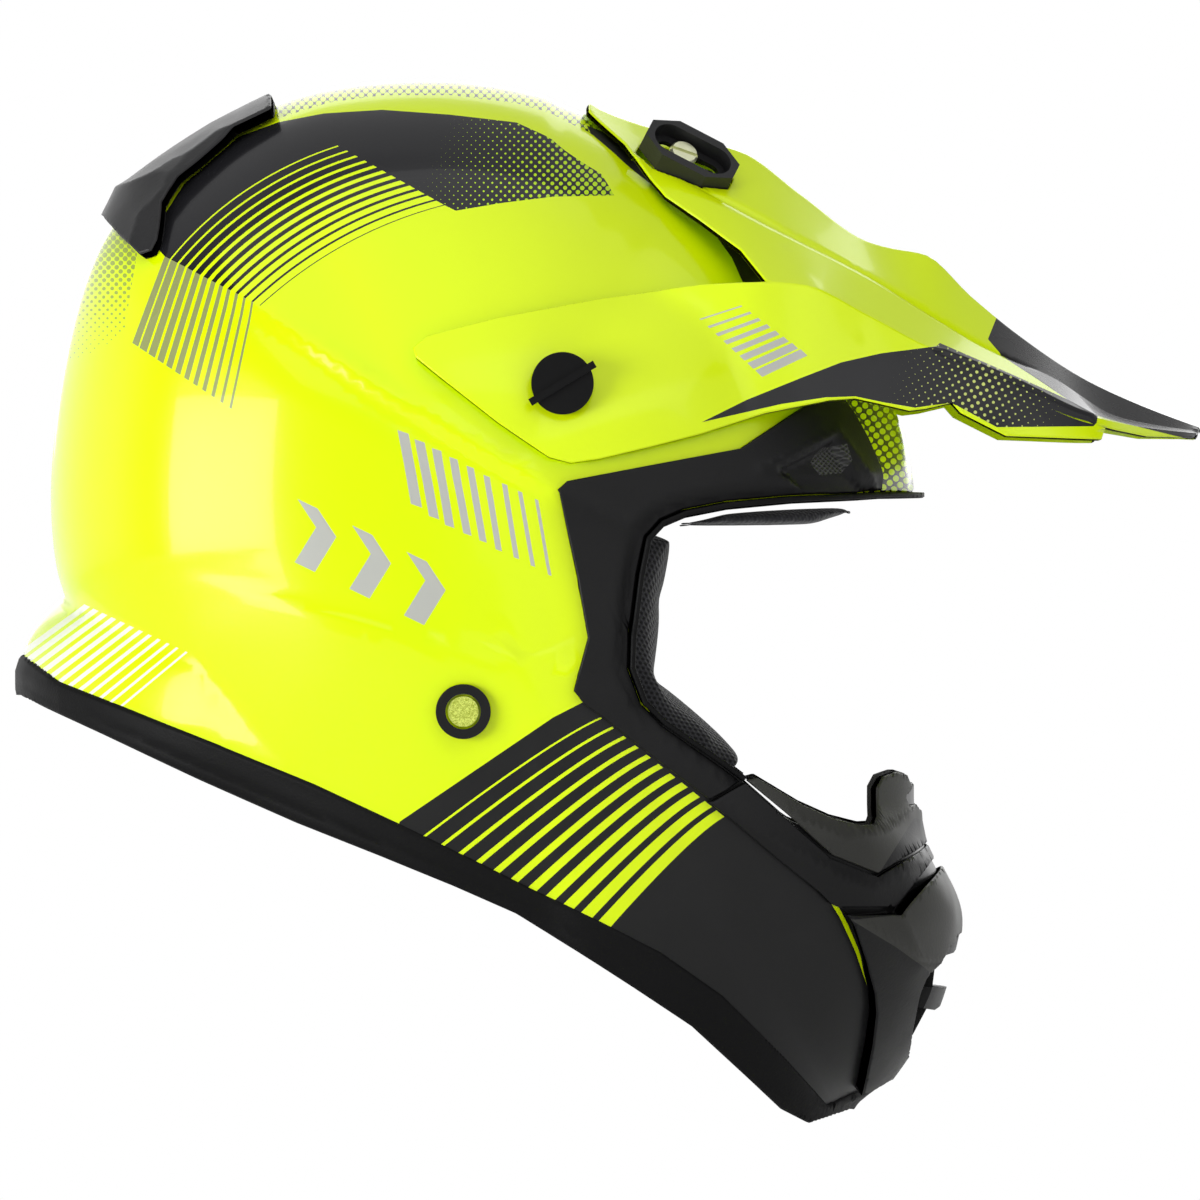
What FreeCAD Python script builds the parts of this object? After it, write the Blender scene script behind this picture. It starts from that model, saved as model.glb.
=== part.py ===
# Motocross helmet: a parametric assembly of separate solids, in millimetres.
# Frame: +X forward, +Y to the wearer's left, +Z up; the origin is the centre of the head cavity at brow height.
#
# The hard parts share one "body form": a closed surface about the Y axis through the origin. In any direction
# theta in the XZ plane it runs from the silhouette radius R(theta), on the centre plane, out to the flat of the
# side at half_width, along a superellipse. body(d) is that form grown by d mm, so that nested and overlaid
# pieces (shell, foam, trims, vents) are all layers of the one form with a stated clearance between them.
import FreeCAD, Part
import math, os

V = FreeCAD.Vector
doc = FreeCAD.newDocument("motocross_helmet")

# ---------------------------------------------------------------- driving dimensions
DIMS = [
    ("half_width", 123.0), ("shell_wall", 4.0), ("gap", 0.3), ("trim_height", 3.2), ("vent_frame_height", 6.5),
    ("foam_thick_top", 35.0), ("cavity_half_length", 107.0), ("cavity_half_width", 86.0), ("cavity_height", 108.0),
    ("comfort_thick", 8.0), ("gasket_width", 2.0), ("gasket_inner", 6.0),
    ("rim_outer", 1.6), ("rim_inner", 6.5), ("visor_thick", 2.4), ("visor_clearance", 2.7),
    ("pivot_x", 28.0), ("pivot_z", 44.4), ("knob_dia", 21.6), ("knob_height", 4.6), ("knob_bar_length", 26.0),
    ("knob_bar_width", 2.6), ("knob_bar_height", 2.6), ("knob_bar_angle", 31.0), ("knob_shank_dia", 6.0),
    ("insert_dia", 9.0), ("insert_length", 6.0), ("knob_seat_y", 122.2), ("knob_shank_length", 12.0),
    ("top_screw_head_dia", 10.2), ("top_screw_head_height", 2.6), ("top_screw_shank_dia", 5.6), ("top_screw_shank_length", 18.0),
    ("slot_width", 7.0), ("slot_travel", 17.0), ("bezel_length", 34.0), ("bezel_width", 19.0), ("bezel_height", 8.0),
    ("anchor_ring_dia", 19.0), ("anchor_cap_dia", 10.6), ("anchor_x", -6.3), ("anchor_z", -69.0), ("anchor_shank_dia", 5.0),
    ("strap_width", 24.0), ("strap_thick", 1.8), ("ring_wire_dia", 3.6), ("ring_window", 27.0),
    ("mouth_half_width", 43.0), ("visor_tilt_up", 2.0), ("visor_tilt_down", 3.0),
]
sheet = doc.addObject("Spreadsheet::Sheet", "dims")
for i, (alias, value) in enumerate(DIMS):
    sheet.set("A%d" % (i + 1), alias)
    sheet.set("B%d" % (i + 1), str(value))
    sheet.setAlias("B%d" % (i + 1), alias)
doc.recompute()


def D(alias):
    return float(sheet.get(alias))


W = D("half_width")
GAP = D("gap")
NODES = []  # (label, document object)

# ---------------------------------------------------------------- the body form
# Silhouette on the centre plane, as (x, z): rear lip, dome, brow, the closed face, chin, and a belly below the rim
# that keeps the side walls steep where the rim cuts them.
SILHOUETTE = [(-161.3, -47.2), (-166.2, -53.5), (-164.8, -59.8), (-155.0, -86.4), (-141.0, -117.9), (-116.5, -152.9), (-74.5, -184.4), (-29.0, -201.9), (5.9, -208.9), (37.4, -222.9), (61.9, -245.7), (89.9, -245.7), (110.9, -233.4), (123.2, -219.4), (128.4, -206.5), (136.1, -200.2), (147.0, -186.2), (154.7, -173.2), (159.2, -160.6), (162.0, -148.8), (163.4, -137.2), (161.0, -128.4), (154.7, -117.9), (151.5, -109.2), (150.8, -93.4), (150.1, -65.5), (150.1, -30.4), (150.5, -9.4), (150.8, 8.0), (147.7, 25.5), (140.7, 43.8), (128.4, 64.0), (110.9, 85.8), (93.4, 103.9), (75.9, 117.9), (58.4, 128.4), (47.9, 134.8), (40.9, 138.4), (33.9, 141.6), (26.9, 144.2), (5.9, 149.4), (-15.0, 151.5), (-29.0, 151.2), (-50.0, 149.1), (-64.0, 146.3), (-71.0, 143.8), (-79.8, 139.3), (-90.3, 133.7), (-106.0, 124.2), (-120.0, 113.0), (-129.8, 101.8), (-136.8, 87.8), (-143.1, 67.5), (-147.7, 44.8), (-150.1, 25.5), (-151.2, 4.5), (-150.5, -9.4), (-148.8, -21.0), (-145.2, -26.2), (-143.1, -29.7), (-145.9, -33.2), (-152.9, -39.5)]
# The same without the flared rear lip: the outside of the foam and the neck roll, which stay clear of the flare.
LINING_SILHOUETTE = [(-140.3, -30.4), (-135.4, -44.4), (-129.8, -65.5), (-120.7, -89.9), (-107.4, -117.9), (-87.8, -145.9), (-60.5, -177.4), (-29.0, -200.2), (5.9, -214.2), (37.4, -226.4), (61.9, -245.7), (89.9, -245.7), (110.9, -233.4), (123.2, -219.4), (128.4, -206.5), (136.1, -200.2), (147.0, -186.2), (154.7, -173.2), (159.2, -160.6), (162.0, -148.8), (163.4, -137.2), (161.0, -128.4), (154.7, -117.9), (151.5, -109.2), (150.8, -93.4), (150.1, -65.5), (150.1, -30.4), (150.5, -9.4), (150.8, 8.0), (147.7, 25.5), (140.7, 43.8), (128.4, 64.0), (110.9, 85.8), (93.4, 103.9), (75.9, 117.9), (58.4, 128.4), (47.9, 134.8), (40.9, 138.4), (33.9, 141.6), (26.9, 144.2), (5.9, 149.4), (-15.0, 151.5), (-29.0, 151.2), (-50.0, 149.1), (-64.0, 146.3), (-71.0, 143.8), (-79.8, 139.3), (-90.3, 133.7), (-106.0, 124.2), (-120.0, 113.0), (-129.8, 101.8), (-136.8, 87.8), (-143.1, 67.5), (-147.7, 44.8), (-150.1, 25.5), (-151.2, 4.5), (-150.1, -9.4), (-147.0, -21.0)]


def polar(points):
    out = []
    for x, z in points:
        out.append((math.degrees(math.atan2(z, x)) % 360.0, math.hypot(x, z)))
    out.sort()
    return out


POLAR = {False: polar(SILHOUETTE), True: polar(LINING_SILHOUETTE)}


def R(theta, lining=False):
    """Silhouette radius at theta degrees: a monotone cubic through the silhouette points."""
    table = POLAR[lining]
    t = theta % 360.0
    n = len(table)
    k = 0
    while k < n and table[k][0] <= t:
        k += 1

    def P(i):
        a, r = table[i % n]
        return a + 360.0 * (i // n), r

    (x0, y0), (x1, y1), (x2, y2), (x3, y3) = P(k - 2), P(k - 1), P(k), P(k + 1)
    d1 = (y2 - y1) / (x2 - x1)
    d0 = (y1 - y0) / (x1 - x0)
    d2 = (y3 - y2) / (x3 - x2)
    m1 = 0.0 if d0 * d1 <= 0 else 2 * d0 * d1 / (d0 + d1)
    m2 = 0.0 if d1 * d2 <= 0 else 2 * d1 * d2 / (d1 + d2)
    h = x2 - x1
    s = (t - x1) / h
    return ((2 * s ** 3 - 3 * s ** 2 + 1) * y1 + (s ** 3 - 2 * s ** 2 + s) * h * m1
            + (-2 * s ** 3 + 3 * s ** 2) * y2 + (s ** 3 - s ** 2) * h * m2)


def power(theta):
    """Superellipse power: round over the crown, fuller at the sides, jaw and chin."""
    t = abs((theta - 90.0 + 180.0) % 360.0 - 180.0)
    s = min(1.0, max(0.0, (t - 30.0) / 30.0))
    s = s * s * (3 - 2 * s)
    return 2.0 + 0.4 * s


def half(x, z, d=0.0):
    """Half width of body(d) at (x, z), 0 outside it."""
    th = math.degrees(math.atan2(z, x))
    r = math.hypot(x, z) / (R(th) + d)
    if r >= 1:
        return 0.0
    p = power(th)
    return (W + d) * (1 - r ** p) ** (1 / p)


FRACTIONS = [0.12, 0.3, 0.48, 0.64, 0.78, 0.88, 0.95, 0.99]
THETAS = sorted(set([float(a) for a in range(0, 360, 6)] + [189.0, 191.0, 195.0, 196.5, 198.0, 199.5, 201.0, 297.0, 303.0, 309.0, 315.0, 321.0, 327.0]))
SEGMENTS = 12
_bodies = {}


def body(d, lining=False):
    """Solid of the form grown by d: a loft through closed sections at constant y, its skin in twelve faces."""
    key = (round(d, 3), lining)
    if key not in _bodies:
        wires = []
        n = len(THETAS)
        params = [t / 360.0 for t in THETAS] + [1.0]
        breaks = [params[int(round(j * n / SEGMENTS))] for j in range(SEGMENTS + 1)]
        for f in [-a for a in reversed(FRACTIONS)] + [0.0] + FRACTIONS:
            pts = []
            for th in THETAS:
                p = power(th)
                r = (R(th, lining) + d) * (1 - abs(f) ** p) ** (1 / p)
                a = math.radians(th)
                pts.append(V(r * math.cos(a), (W + d) * f, r * math.sin(a)))
            c = Part.BSplineCurve()
            c.interpolate(Points=pts, PeriodicFlag=True, Parameters=params)
            wires.append(Part.Wire([c.toShape(a, b) for a, b in zip(breaks, breaks[1:])]))
        _bodies[key] = Part.makeLoft(wires, True, False, False)
    return _bodies[key]


_layers = {}


def layer(outer, inner):
    """The closed skin between body(outer) and body(inner)."""
    key = (outer, inner)
    if key not in _layers:
        _layers[key] = body(outer).cut(body(inner))
    return _layers[key]


def prism(points, y0=-200.0, y1=200.0, smooth=False):
    """Outline (x, z) extruded along Y."""
    if smooth:
        c = Part.BSplineCurve()
        c.interpolate([V(x, y0, z) for x, z in points], PeriodicFlag=True)
        wire = Part.Wire([c.toShape()])
    else:
        wire = Part.makePolygon([V(x, y0, z) for x, z in points] + [V(points[0][0], y0, points[0][1])])
    return Part.Face(wire).extrude(V(0, y1 - y0, 0))


def offset_line(points, d):
    """Open polyline moved d to its left, mitred."""
    out = []
    n = len(points)
    for i in range(n):
        dirs = []
        if i > 0:
            dirs.append((points[i][0] - points[i - 1][0], points[i][1] - points[i - 1][1]))
        if i < n - 1:
            dirs.append((points[i + 1][0] - points[i][0], points[i + 1][1] - points[i][1]))
        ns = []
        for dx, dz in dirs:
            l = math.hypot(dx, dz)
            ns.append((-dz / l, dx / l))
        nx = sum(a for a, b in ns) / len(ns)
        nz = sum(b for a, b in ns) / len(ns)
        k = nx * nx + nz * nz
        out.append((points[i][0] + d * nx / k, points[i][1] + d * nz / k))
    return out


def mix(a, b, t):
    return [(p[0] + (q[0] - p[0]) * t, p[1] + (q[1] - p[1]) * t) for p, q in zip(a, b)]


def only_solids(shape):
    s = [x for x in shape.Solids if x.Volume > 1.0]
    return s[0] if len(s) == 1 else Part.makeCompound(s)


def add(label, shape):
    shape = shape if shape.ShapeType in ("Solid", "Compound") else only_solids(shape)
    if shape.ShapeType == "Compound":
        shape = only_solids(shape)
    o = doc.addObject("Part::Feature", label)
    o.Label = label
    o.Shape = shape
    NODES.append((label, o))
    return o


def mirrored(shape):
    return shape.mirror(V(0, 0, 0), V(0, 1, 0))


# ---------------------------------------------------------------- outlines on the side view, (x, z)
RIM_TOP = [(-190.0, -30.4), (-162.4, -46.9), (-146.6, -58.1), (-124.2, -66.8), (-91.0, -80.1), (-57.4, -93.8), (-28.7, -107.1), (-2.1, -120.0), (20.3, -131.2), (40.9, -141.0), (62.3, -151.9), (83.6, -166.9), (105.3, -188.3), (116.2, -200.2), (120.0, -205.4), (132.7, -201.2), (151.2, -192.1), (180.9, -174.6)]
RIM_BOTTOM = [(-195.3, -47.9), (-166.9, -60.9), (-150.8, -68.2), (-130.5, -77.3), (-98.0, -92.4), (-64.0, -107.4), (-35.7, -118.6), (-9.8, -129.2), (11.5, -138.6), (32.2, -151.5), (52.1, -164.5), (72.4, -178.1), (91.7, -196.0), (103.6, -207.2), (112.7, -211.8), (131.2, -206.5), (154.7, -197.0), (184.4, -181.6)]
EYE = [(180.9, 4.9), (138.9, 5.2), (128.8, 4.5), (106.4, 3.5), (84.0, 1.4), (69.6, -1.4), (62.3, -4.5), (57.7, -9.4), (55.3, -21.7), (52.8, -43.0), (52.5, -53.2), (56.7, -64.4), (63.7, -71.4), (72.8, -77.7), (84.0, -85.4), (90.6, -90.3)]
GUARD_TOP = [(98.7, -95.2), (109.5, -102.5), (120.0, -106.8), (129.8, -107.8), (134.0, -106.4), (135.1, -103.6), (135.1, -94.1), (137.2, -90.3), (142.1, -88.5), (145.6, -89.6), (147.7, -94.5), (145.2, -97.3), (145.9, -100.4), (148.8, -99.8), (150.8, -102.5), (153.3, -109.9), (156.1, -111.3)]
GUARD_LOW = [(135.8, -123.5), (120.0, -117.2), (90.6, -91.3)]
BAND = [(90.3, -92.4), (119.7, -118.3), (135.8, -124.8), (156.8, -112.0), (157.1, -116.5), (141.8, -135.4), (122.5, -135.4), (120.0, -134.4), (115.8, -130.2), (100.8, -118.3), (86.1, -106.0), (77.3, -99.0), (79.1, -98.7)]
VENT = [(158.5, -117.2), (169.4, -133.7), (163.1, -142.4), (152.2, -156.1), (151.2, -158.2), (148.0, -176.4), (146.3, -191.4), (130.5, -200.2), (131.6, -194.6), (134.0, -182.0), (135.1, -171.1), (134.4, -163.8), (131.2, -152.9), (126.0, -140.3), (123.2, -136.1), (142.1, -136.1)]
TRIM = [(25.9, 7.7), (29.0, 10.5), (58.4, 16.1), (88.2, 21.7), (103.9, 32.2), (110.9, 36.8), (123.2, 39.5), (127.7, 33.2), (131.9, 25.5), (136.1, 15.7), (138.6, 7.7)]
TRIM_BACK = [(88.5, -92.4), (78.0, -98.3), (54.9, -80.8), (41.6, -70.3), (35.0, -65.8), (31.5, -61.2), (36.4, -43.0), (32.9, -23.1)]
SPOILER = [(-135.8, 115.1), (-110.2, 129.8), (-94.1, 137.2), (-76.6, 144.2), (-72.4, 143.5), (-71.4, 136.5), (-83.3, 129.8), (-102.2, 113.0), (-108.1, 105.0), (-110.2, 93.1), (-112.3, 89.2), (-116.2, 87.5), (-123.5, 94.1), (-128.8, 99.8), (-134.4, 108.8)]
VISOR = [(37.4, 148.0), (37.4, 140.3), (40.9, 136.8), (49.7, 128.8), (58.4, 116.5), (63.7, 110.2), (75.9, 101.8), (89.9, 91.3), (98.7, 80.1), (75.9, 79.1), (40.9, 74.2), (5.9, 67.5), (-18.5, 61.2), (-23.8, 57.0), (-22.8, 53.5), (-15.0, 47.2), (5.9, 30.8), (23.4, 18.9), (31.1, 16.8), (40.9, 18.2), (58.4, 22.4), (75.9, 26.9), (98.3, 34.3), (120.4, 38.8), (129.5, 39.5), (136.1, 38.1), (148.4, 35.3), (154.0, 36.0), (163.1, 38.1), (166.2, 34.6), (182.0, 26.6), (215.6, 25.5), (217.0, 29.7), (220.8, 28.7), (232.0, 26.6), (248.8, 26.2), (250.9, 29.7), (261.4, 32.5), (261.4, 148.0)]
BIG = 400.0

eye_out = offset_line(EYE, -D("gasket_width"))  # outward, away from the face opening
guard_top_low = offset_line(GUARD_TOP, -4.0)
eye_cut = eye_out + offset_line(GUARD_TOP, -5.0)[:8] + [(BIG, guard_top_low[6][1]), (BIG, EYE[0][1])]
shell_bottom = mix(RIM_TOP, RIM_BOTTOM, 0.5)
groove_floor = mix(RIM_TOP, RIM_BOTTOM, 0.54)
above_shell_edge = prism(shell_bottom + [(BIG, shell_bottom[-1][1]), (BIG, BIG), (-BIG, BIG), (-BIG, shell_bottom[0][1])])
above_groove = prism(groove_floor + [(BIG, groove_floor[-1][1]), (BIG, BIG), (-BIG, BIG), (-BIG, groove_floor[0][1])])
rim_band = prism(RIM_TOP + list(reversed(RIM_BOTTOM)))
eye_prism = prism(eye_cut)

# ---------------------------------------------------------------- fastener axes
PX0, PZ0 = D("pivot_x"), D("pivot_z")
AX, AZ = D("anchor_x"), D("anchor_z")
rad = V([(69.6, 124.2)][0][0] - PX0, 0, [(69.6, 124.2)][0][1] - PZ0)
rhat = V(rad).normalize()
that = V(rhat.z, 0, -rhat.x)  # along the arc about the pivot, forward and down
LEAN = math.radians(45.0)
nrm = V(rhat.x * math.cos(LEAN), -math.sin(LEAN), rhat.z * math.cos(LEAN))  # right-hand top screw's axis, outward
side = nrm.cross(that)
top_seat = V([(69.6, 124.2)][0][0], -47.0, [(69.6, 124.2)][0][1])  # on the bezel's floor, on the screw's axis
bezel_mid = top_seat + that * 2.2


def cyl(r, h, base, axis):
    return Part.makeCylinder(r, h, base, axis)


def obround(length, width, depth, centre, lift):
    """Round-ended bar along the slot's direction, standing on the bezel plane, from lift to lift + depth."""
    a = (length - width) / 2.0
    c0 = centre + nrm * lift
    box = Part.makeBox(2 * a, width, depth, V(0, 0, 0))
    m = FreeCAD.Matrix(that.x, side.x, nrm.x, 0, that.y, side.y, nrm.y, 0, that.z, side.z, nrm.z, 0, 0, 0, 0, 1)
    pl = FreeCAD.Placement(m)
    box.Placement = pl
    box.translate(c0 - that * a - side * (width / 2.0))
    return box.fuse([cyl(width / 2.0, depth, c0 - that * a, nrm), cyl(width / 2.0, depth, c0 + that * a, nrm)]).removeSplitter()


def obround_in(length, width, depth, centre, lift):
    """The same with eight-sided ends, as the moulded bezel has."""
    c0 = centre + nrm * lift
    l, w, c = length / 2.0, width / 2.0, width * 0.3
    pts = [(-l, -w + c), (-l + c * 1.5, -w), (l - c * 1.5, -w), (l, -w + c), (l, w - c), (l - c * 1.5, w), (-l + c * 1.5, w), (-l, w - c)]
    vs = [c0 + that * a + side * b for a, b in pts]
    return Part.Face(Part.makePolygon(vs + [vs[0]])).extrude(nrm * depth)


# ---------------------------------------------------------------- outer shell
shell = layer(0.0, -D("shell_wall")).common(above_shell_edge).cut(eye_prism)
mw = D("mouth_half_width")
mouth = prism([(145.9, -144.2), (180.9, -140.7), (180.9, -186.2), (138.9, -184.4), (140.7, -170.4)], -mw, mw)
shell = shell.cut(mouth)
pivot_hole = cyl(D("insert_dia") / 2 + 0.15, 300, V(PX0, -150, PZ0), V(0, 1, 0))
anchor_hole = cyl(D("anchor_shank_dia") / 2 + 0.2, 300, V(AX, -150, AZ), V(0, 1, 0))
top_hole = cyl(D("insert_dia") / 2 + 0.15, 40, top_seat - nrm * 34, nrm)
top_holes = top_hole.fuse(mirrored(top_hole))
shell = shell.cut(pivot_hole).cut(anchor_hole).cut(top_holes)
# rear exhaust ports under the spoiler
port_x, port_z = [(-120.0, 107.8)][0]
ports = [Part.makeBox(26, 7, 5, V(port_x - 13, s * 16 - 3.5, port_z - 2.5)) for s in (-1, 1)]
shell = shell.cut(Part.makeCompound(ports))
add("outer_shell", shell)

# ---------------------------------------------------------------- impact foam and comfort lining
ca, cb, ch = D("cavity_half_length"), D("cavity_half_width"), D("cavity_height")


def dome(a, b, h, down=-60.0):
    """Head-shaped solid: the top half of an ellipsoid over an oval column."""
    ball = Part.makeSphere(1.0)
    m = FreeCAD.Matrix()
    m.scale(a, b, h)
    top = ball.transformGeometry(m)
    col = Part.makeCylinder(1.0, 1.0, V(0, 0, 0), V(0, 0, 1))
    m2 = FreeCAD.Matrix()
    m2.scale(a, b, -down)
    col = col.transformGeometry(m2)
    col.translate(V(0, 0, down))
    return top.common(Part.makeBox(600, 600, 600, V(-300, -300, 0))).fuse(col).removeSplitter()


cavity = dome(ca, cb, ch, -300.0)
foam_zone = prism([(285.9, 11.5), (147.7, 11.5), (61.9, 6.3), (50.8, 0.3), (43.0, -16.4), (26.9, -37.4), (-29.0, -54.2), (-81.5, -57.0), (-120.0, -44.4), (-148.0, -26.9), (-239.0, -16.4), (-239.0, 284.5), (285.9, 284.5)])
foam = body(-D("shell_wall") - 0.6, True).common(foam_zone).cut(cavity)
recess = cyl(D("insert_dia") / 2 + 1.5, 300, V(PX0, -150, PZ0), V(0, 1, 0))
top_recess = cyl(D("insert_dia") / 2 + 1.5, 40, top_seat - nrm * 36, nrm)
foam = foam.cut(recess).cut(top_recess.fuse(mirrored(top_recess)))
add("impact_liner", foam)

chin_zone = prism([(91.7, -100.4), (110.9, -117.9), (135.4, -131.9), (151.2, -139.6), (154.7, -147.7), (147.7, -173.9), (135.4, -189.7), (124.2, -194.2), (114.4, -191.4), (91.7, -172.2), (75.9, -156.4), (75.9, -110.9)])
chin_foam = layer(-4.6, -20.0).common(chin_zone).cut(prism([(145.9, -145.9), (180.9, -145.9), (180.9, -182.7), (75.9, -182.7), (75.9, -145.9)], -mw + 4, mw - 4))
add("chin_bar_foam", chin_foam)

ct = D("comfort_thick")
lining = dome(ca - 0.4, cb - 0.4, ch - 0.4, -30.0).cut(dome(ca - ct, cb - ct, ch - ct, -80.0))
lining = lining.cut(prism([(285.9, 15.0), (58.4, 15.0), (37.4, -0.7), (26.9, -30.4), (26.9, -135.4), (285.9, -135.4)]))
add("comfort_liner", lining)

# brow strip: padded strip under the top edge of the eye port
brow = layer(-8.0, -22.0).common(prism([(62.6, -5.9), (69.6, -2.4), (84.0, 0.3), (106.4, 2.4), (128.8, 3.5), (132.7, 3.5), (129.2, -1.0), (122.1, -2.4), (116.2, -4.9), (68.9, -5.2)]))
add("brow_pad", brow)

# path of the chin strap's webbing down the inside of the wall and in under the jaw
def ribbon(points, across, width, thick):
    """Flat webbing through the points; across is the unit direction of its width at each point."""
    ws = []
    n = len(points)
    for i in range(n):
        a = points[max(0, i - 1)]
        c = points[min(n - 1, i + 1)]
        t_ = (c - a).normalize()
        u = across[i] - t_ * across[i].dot(t_)
        u.normalize()
        w_ = t_.cross(u)
        p = points[i]
        q = [p + u * (width / 2) + w_ * (thick / 2), p - u * (width / 2) + w_ * (thick / 2),
             p - u * (width / 2) - w_ * (thick / 2), p + u * (width / 2) - w_ * (thick / 2)]
        ws.append(Part.makePolygon(q + [q[0]]))
    return Part.makeLoft(ws, True, True, False)


def on_wall(p, depth):
    """Point on the inner side of the right wall, depth mm in from the outer surface."""
    x, z = p
    return V(x, -(half(x, z) - depth), z)


STRAP = [(-8.0, -64.4), (-4.2, -73.1), (0.3, -83.6), (5.9, -95.9), (11.5, -108.1)]
strap_pts = [on_wall(p, 8.2) for p in STRAP]
strap_pts += [V(x, y, z) for (x, z), y in zip([(17.8, -120.0), (26.9, -127.7), (34.3, -131.6), (36.8, -132.7), (36.8, -132.7)], (-88.0, -76.0, -64.0, -54.0, -44.0))]
u1 = V(0.92, 0, 0.40)
across = [u1] * 5 + [V(0.90, 0.1, 0.42), V(0.90, 0.1, 0.43), V(0.89, 0.05, 0.45), V(0.88, 0, 0.46), V(0.88, 0, 0.46)]
sw, stt = D("strap_width"), D("strap_thick")


# cheek pads: foam blocks between the shell and the face, relieved where the webbing runs behind them
relief = ribbon([strap_pts[0] * 2 - strap_pts[1]] + strap_pts[:7], [across[0]] + across[:7], sw + 4.0, stt + 3.0)
CHEEK = [(70.0, -6.3), (65.1, -16.1), (61.2, -31.8), (61.2, -49.7), (65.1, -60.9), (72.8, -67.5), (84.0, -76.6), (94.1, -85.4), (89.2, -91.7), (75.9, -96.9), (40.9, -104.6), (5.9, -99.8), (-18.5, -87.1), (-27.6, -72.4), (-26.9, -57.0), (5.9, -47.9), (26.9, -40.9), (44.4, -19.2), (52.8, -2.4), (61.2, -5.9)]
cheek_r = body(-8.6).common(prism(CHEEK, -130.0, -62.0)).cut(relief)
add("cheek_pad_right", cheek_r)
add("cheek_pad_left", mirrored(cheek_r))

roll_zone = prism([(-147.3, -30.4), (-120.0, -47.2), (-81.5, -59.8), (-31.8, -59.8), (-30.4, -89.9), (-53.5, -89.9), (-91.0, -75.2), (-124.2, -61.9), (-146.6, -52.8), (-158.5, -44.4)])
roll = body(-7.2, True).common(roll_zone).cut(dome(96.0, 74.0, 60.0, -300.0)).common(Part.makeBox(130, 300, 300, V(-165, -150, -200)))
add("neck_roll", roll)

# ---------------------------------------------------------------- trims laid over the shell
th = D("trim_height")
overlay = layer(th, GAP)
trim_line = offset_line(EYE, -D("gasket_width") - GAP)
trim_poly = TRIM + trim_line[2:] + TRIM_BACK
both = overlay.common(prism(trim_poly))
rights = [s for s in both.Solids if s.CenterOfMass.y < 0 and s.Volume > 50]
add("eyeport_trim_right", Part.makeCompound(rights))
add("eyeport_trim_left", Part.makeCompound([mirrored(s) for s in rights]))

gasket_poly = EYE + list(reversed(offset_line(EYE, -D("gasket_width") + 0.2)))
gasket = layer(th + 0.6, -D("gasket_inner")).common(prism(gasket_poly))
add("eyeport_gasket", gasket)

guard = overlay.common(prism(GUARD_TOP + GUARD_LOW))
add("nose_guard", guard)
add("chin_band", overlay.common(prism(BAND)))

vh = D("vent_frame_height")
mouth_clear = prism([(147.7, -142.4), (180.9, -137.2), (180.9, -187.9), (135.4, -187.9), (137.2, -170.4)], -mw - 2.0, mw + 2.0)
frame_ = layer(vh, GAP).common(prism(VENT))
add("mouth_vent_frame", frame_)

slat_hi = prism([(154.7, -152.2), (162.0, -144.2), (165.5, -144.9), (168.0, -149.8), (164.5, -153.6), (155.4, -155.8)], -mw + 3, mw - 3)
slat_lo = prism([(147.7, -164.8), (163.8, -165.9), (164.1, -170.1), (157.8, -173.6), (147.7, -171.5)], -mw + 3, mw - 3)
posts = [prism([(152.2, -145.9), (159.2, -147.7), (156.4, -170.4), (150.1, -182.3), (143.5, -182.3), (147.7, -165.2)], s * 22 - 2, s * 22 + 2) for s in (-1, 1)]
grille = slat_hi.fuse([slat_lo] + posts).common(body(5.0)).cut(body(-3.0))
grille = grille.cut(prism(VENT)).cut(prism([(x + 0.5, z) for x, z in VENT]))
add("mouth_vent_grille", grille)
mesh_ = layer(-3.3, -4.3).common(prism([(147.3, -145.9), (166.9, -145.2), (166.9, -183.4), (140.7, -183.0), (142.4, -170.4)], -mw + 1.5, mw - 1.5))
add("mouth_vent_mesh", mesh_)

rim = layer(D("rim_outer"), -D("rim_inner")).common(rim_band)
rim = rim.cut(layer(GAP, -D("shell_wall") - GAP).common(above_groove))
add("rim_trim", rim)

spoil = layer(7.0, GAP).common(prism(SPOILER))
add("rear_spoiler", spoil)

# ---------------------------------------------------------------- visor
VX = [x for x, z in [(-29.0, 179.5), (-15.0, 179.5), (-1.0, 179.5), (12.9, 179.5), (26.9, 179.5), (40.9, 179.5), (54.9, 179.5), (72.4, 179.5), (90.6, 179.5), (110.9, 179.5), (134.0, 179.5), (154.0, 179.5), (170.4, 179.5), (186.2, 179.5), (210.0, 179.5), (229.9, 179.5), (253.7, 179.5)]]


def interp(table, x):
    if x <= table[0][0]:
        return table[0][1]
    for (a, b), (c, d) in zip(table, table[1:]):
        if x <= c:
            return b + (d - b) * (x - a) / (c - a)
    return table[-1][1]


Z_TOP = [(-29.0, 158.5), (-1.0, 157.8), (26.9, 150.8), (40.9, 141.4), (54.9, 136.1), (72.4, 131.2), (90.6, 126.3), (110.9, 111.6), (134.0, 95.2), (154.0, 90.6), (170.4, 75.9), (186.2, 63.0), (210.0, 47.2), (229.9, 38.1), (254.4, 29.0)]
Z_GROOVE = [(-29.0, 155.0), (-1.0, 151.5), (26.9, 140.3), (40.9, 130.5), (54.9, 123.5), (72.4, 115.1), (90.6, 105.3), (110.6, 94.8), (134.0, 82.6), (154.0, 70.3), (172.9, 58.8), (180.9, 54.9), (198.8, 46.9), (220.8, 33.6), (233.4, 30.8), (254.4, 28.0)]
Z_CREASE = [(-29.0, 58.4), (-1.0, 66.1), (26.9, 71.8), (40.9, 74.2), (54.9, 76.6), (72.4, 78.8), (90.6, 80.1), (110.9, 78.8), (134.0, 68.2), (154.0, 57.7), (170.4, 51.4), (186.2, 44.8), (210.0, 33.9), (229.9, 29.7), (254.4, 27.3)]
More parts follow.
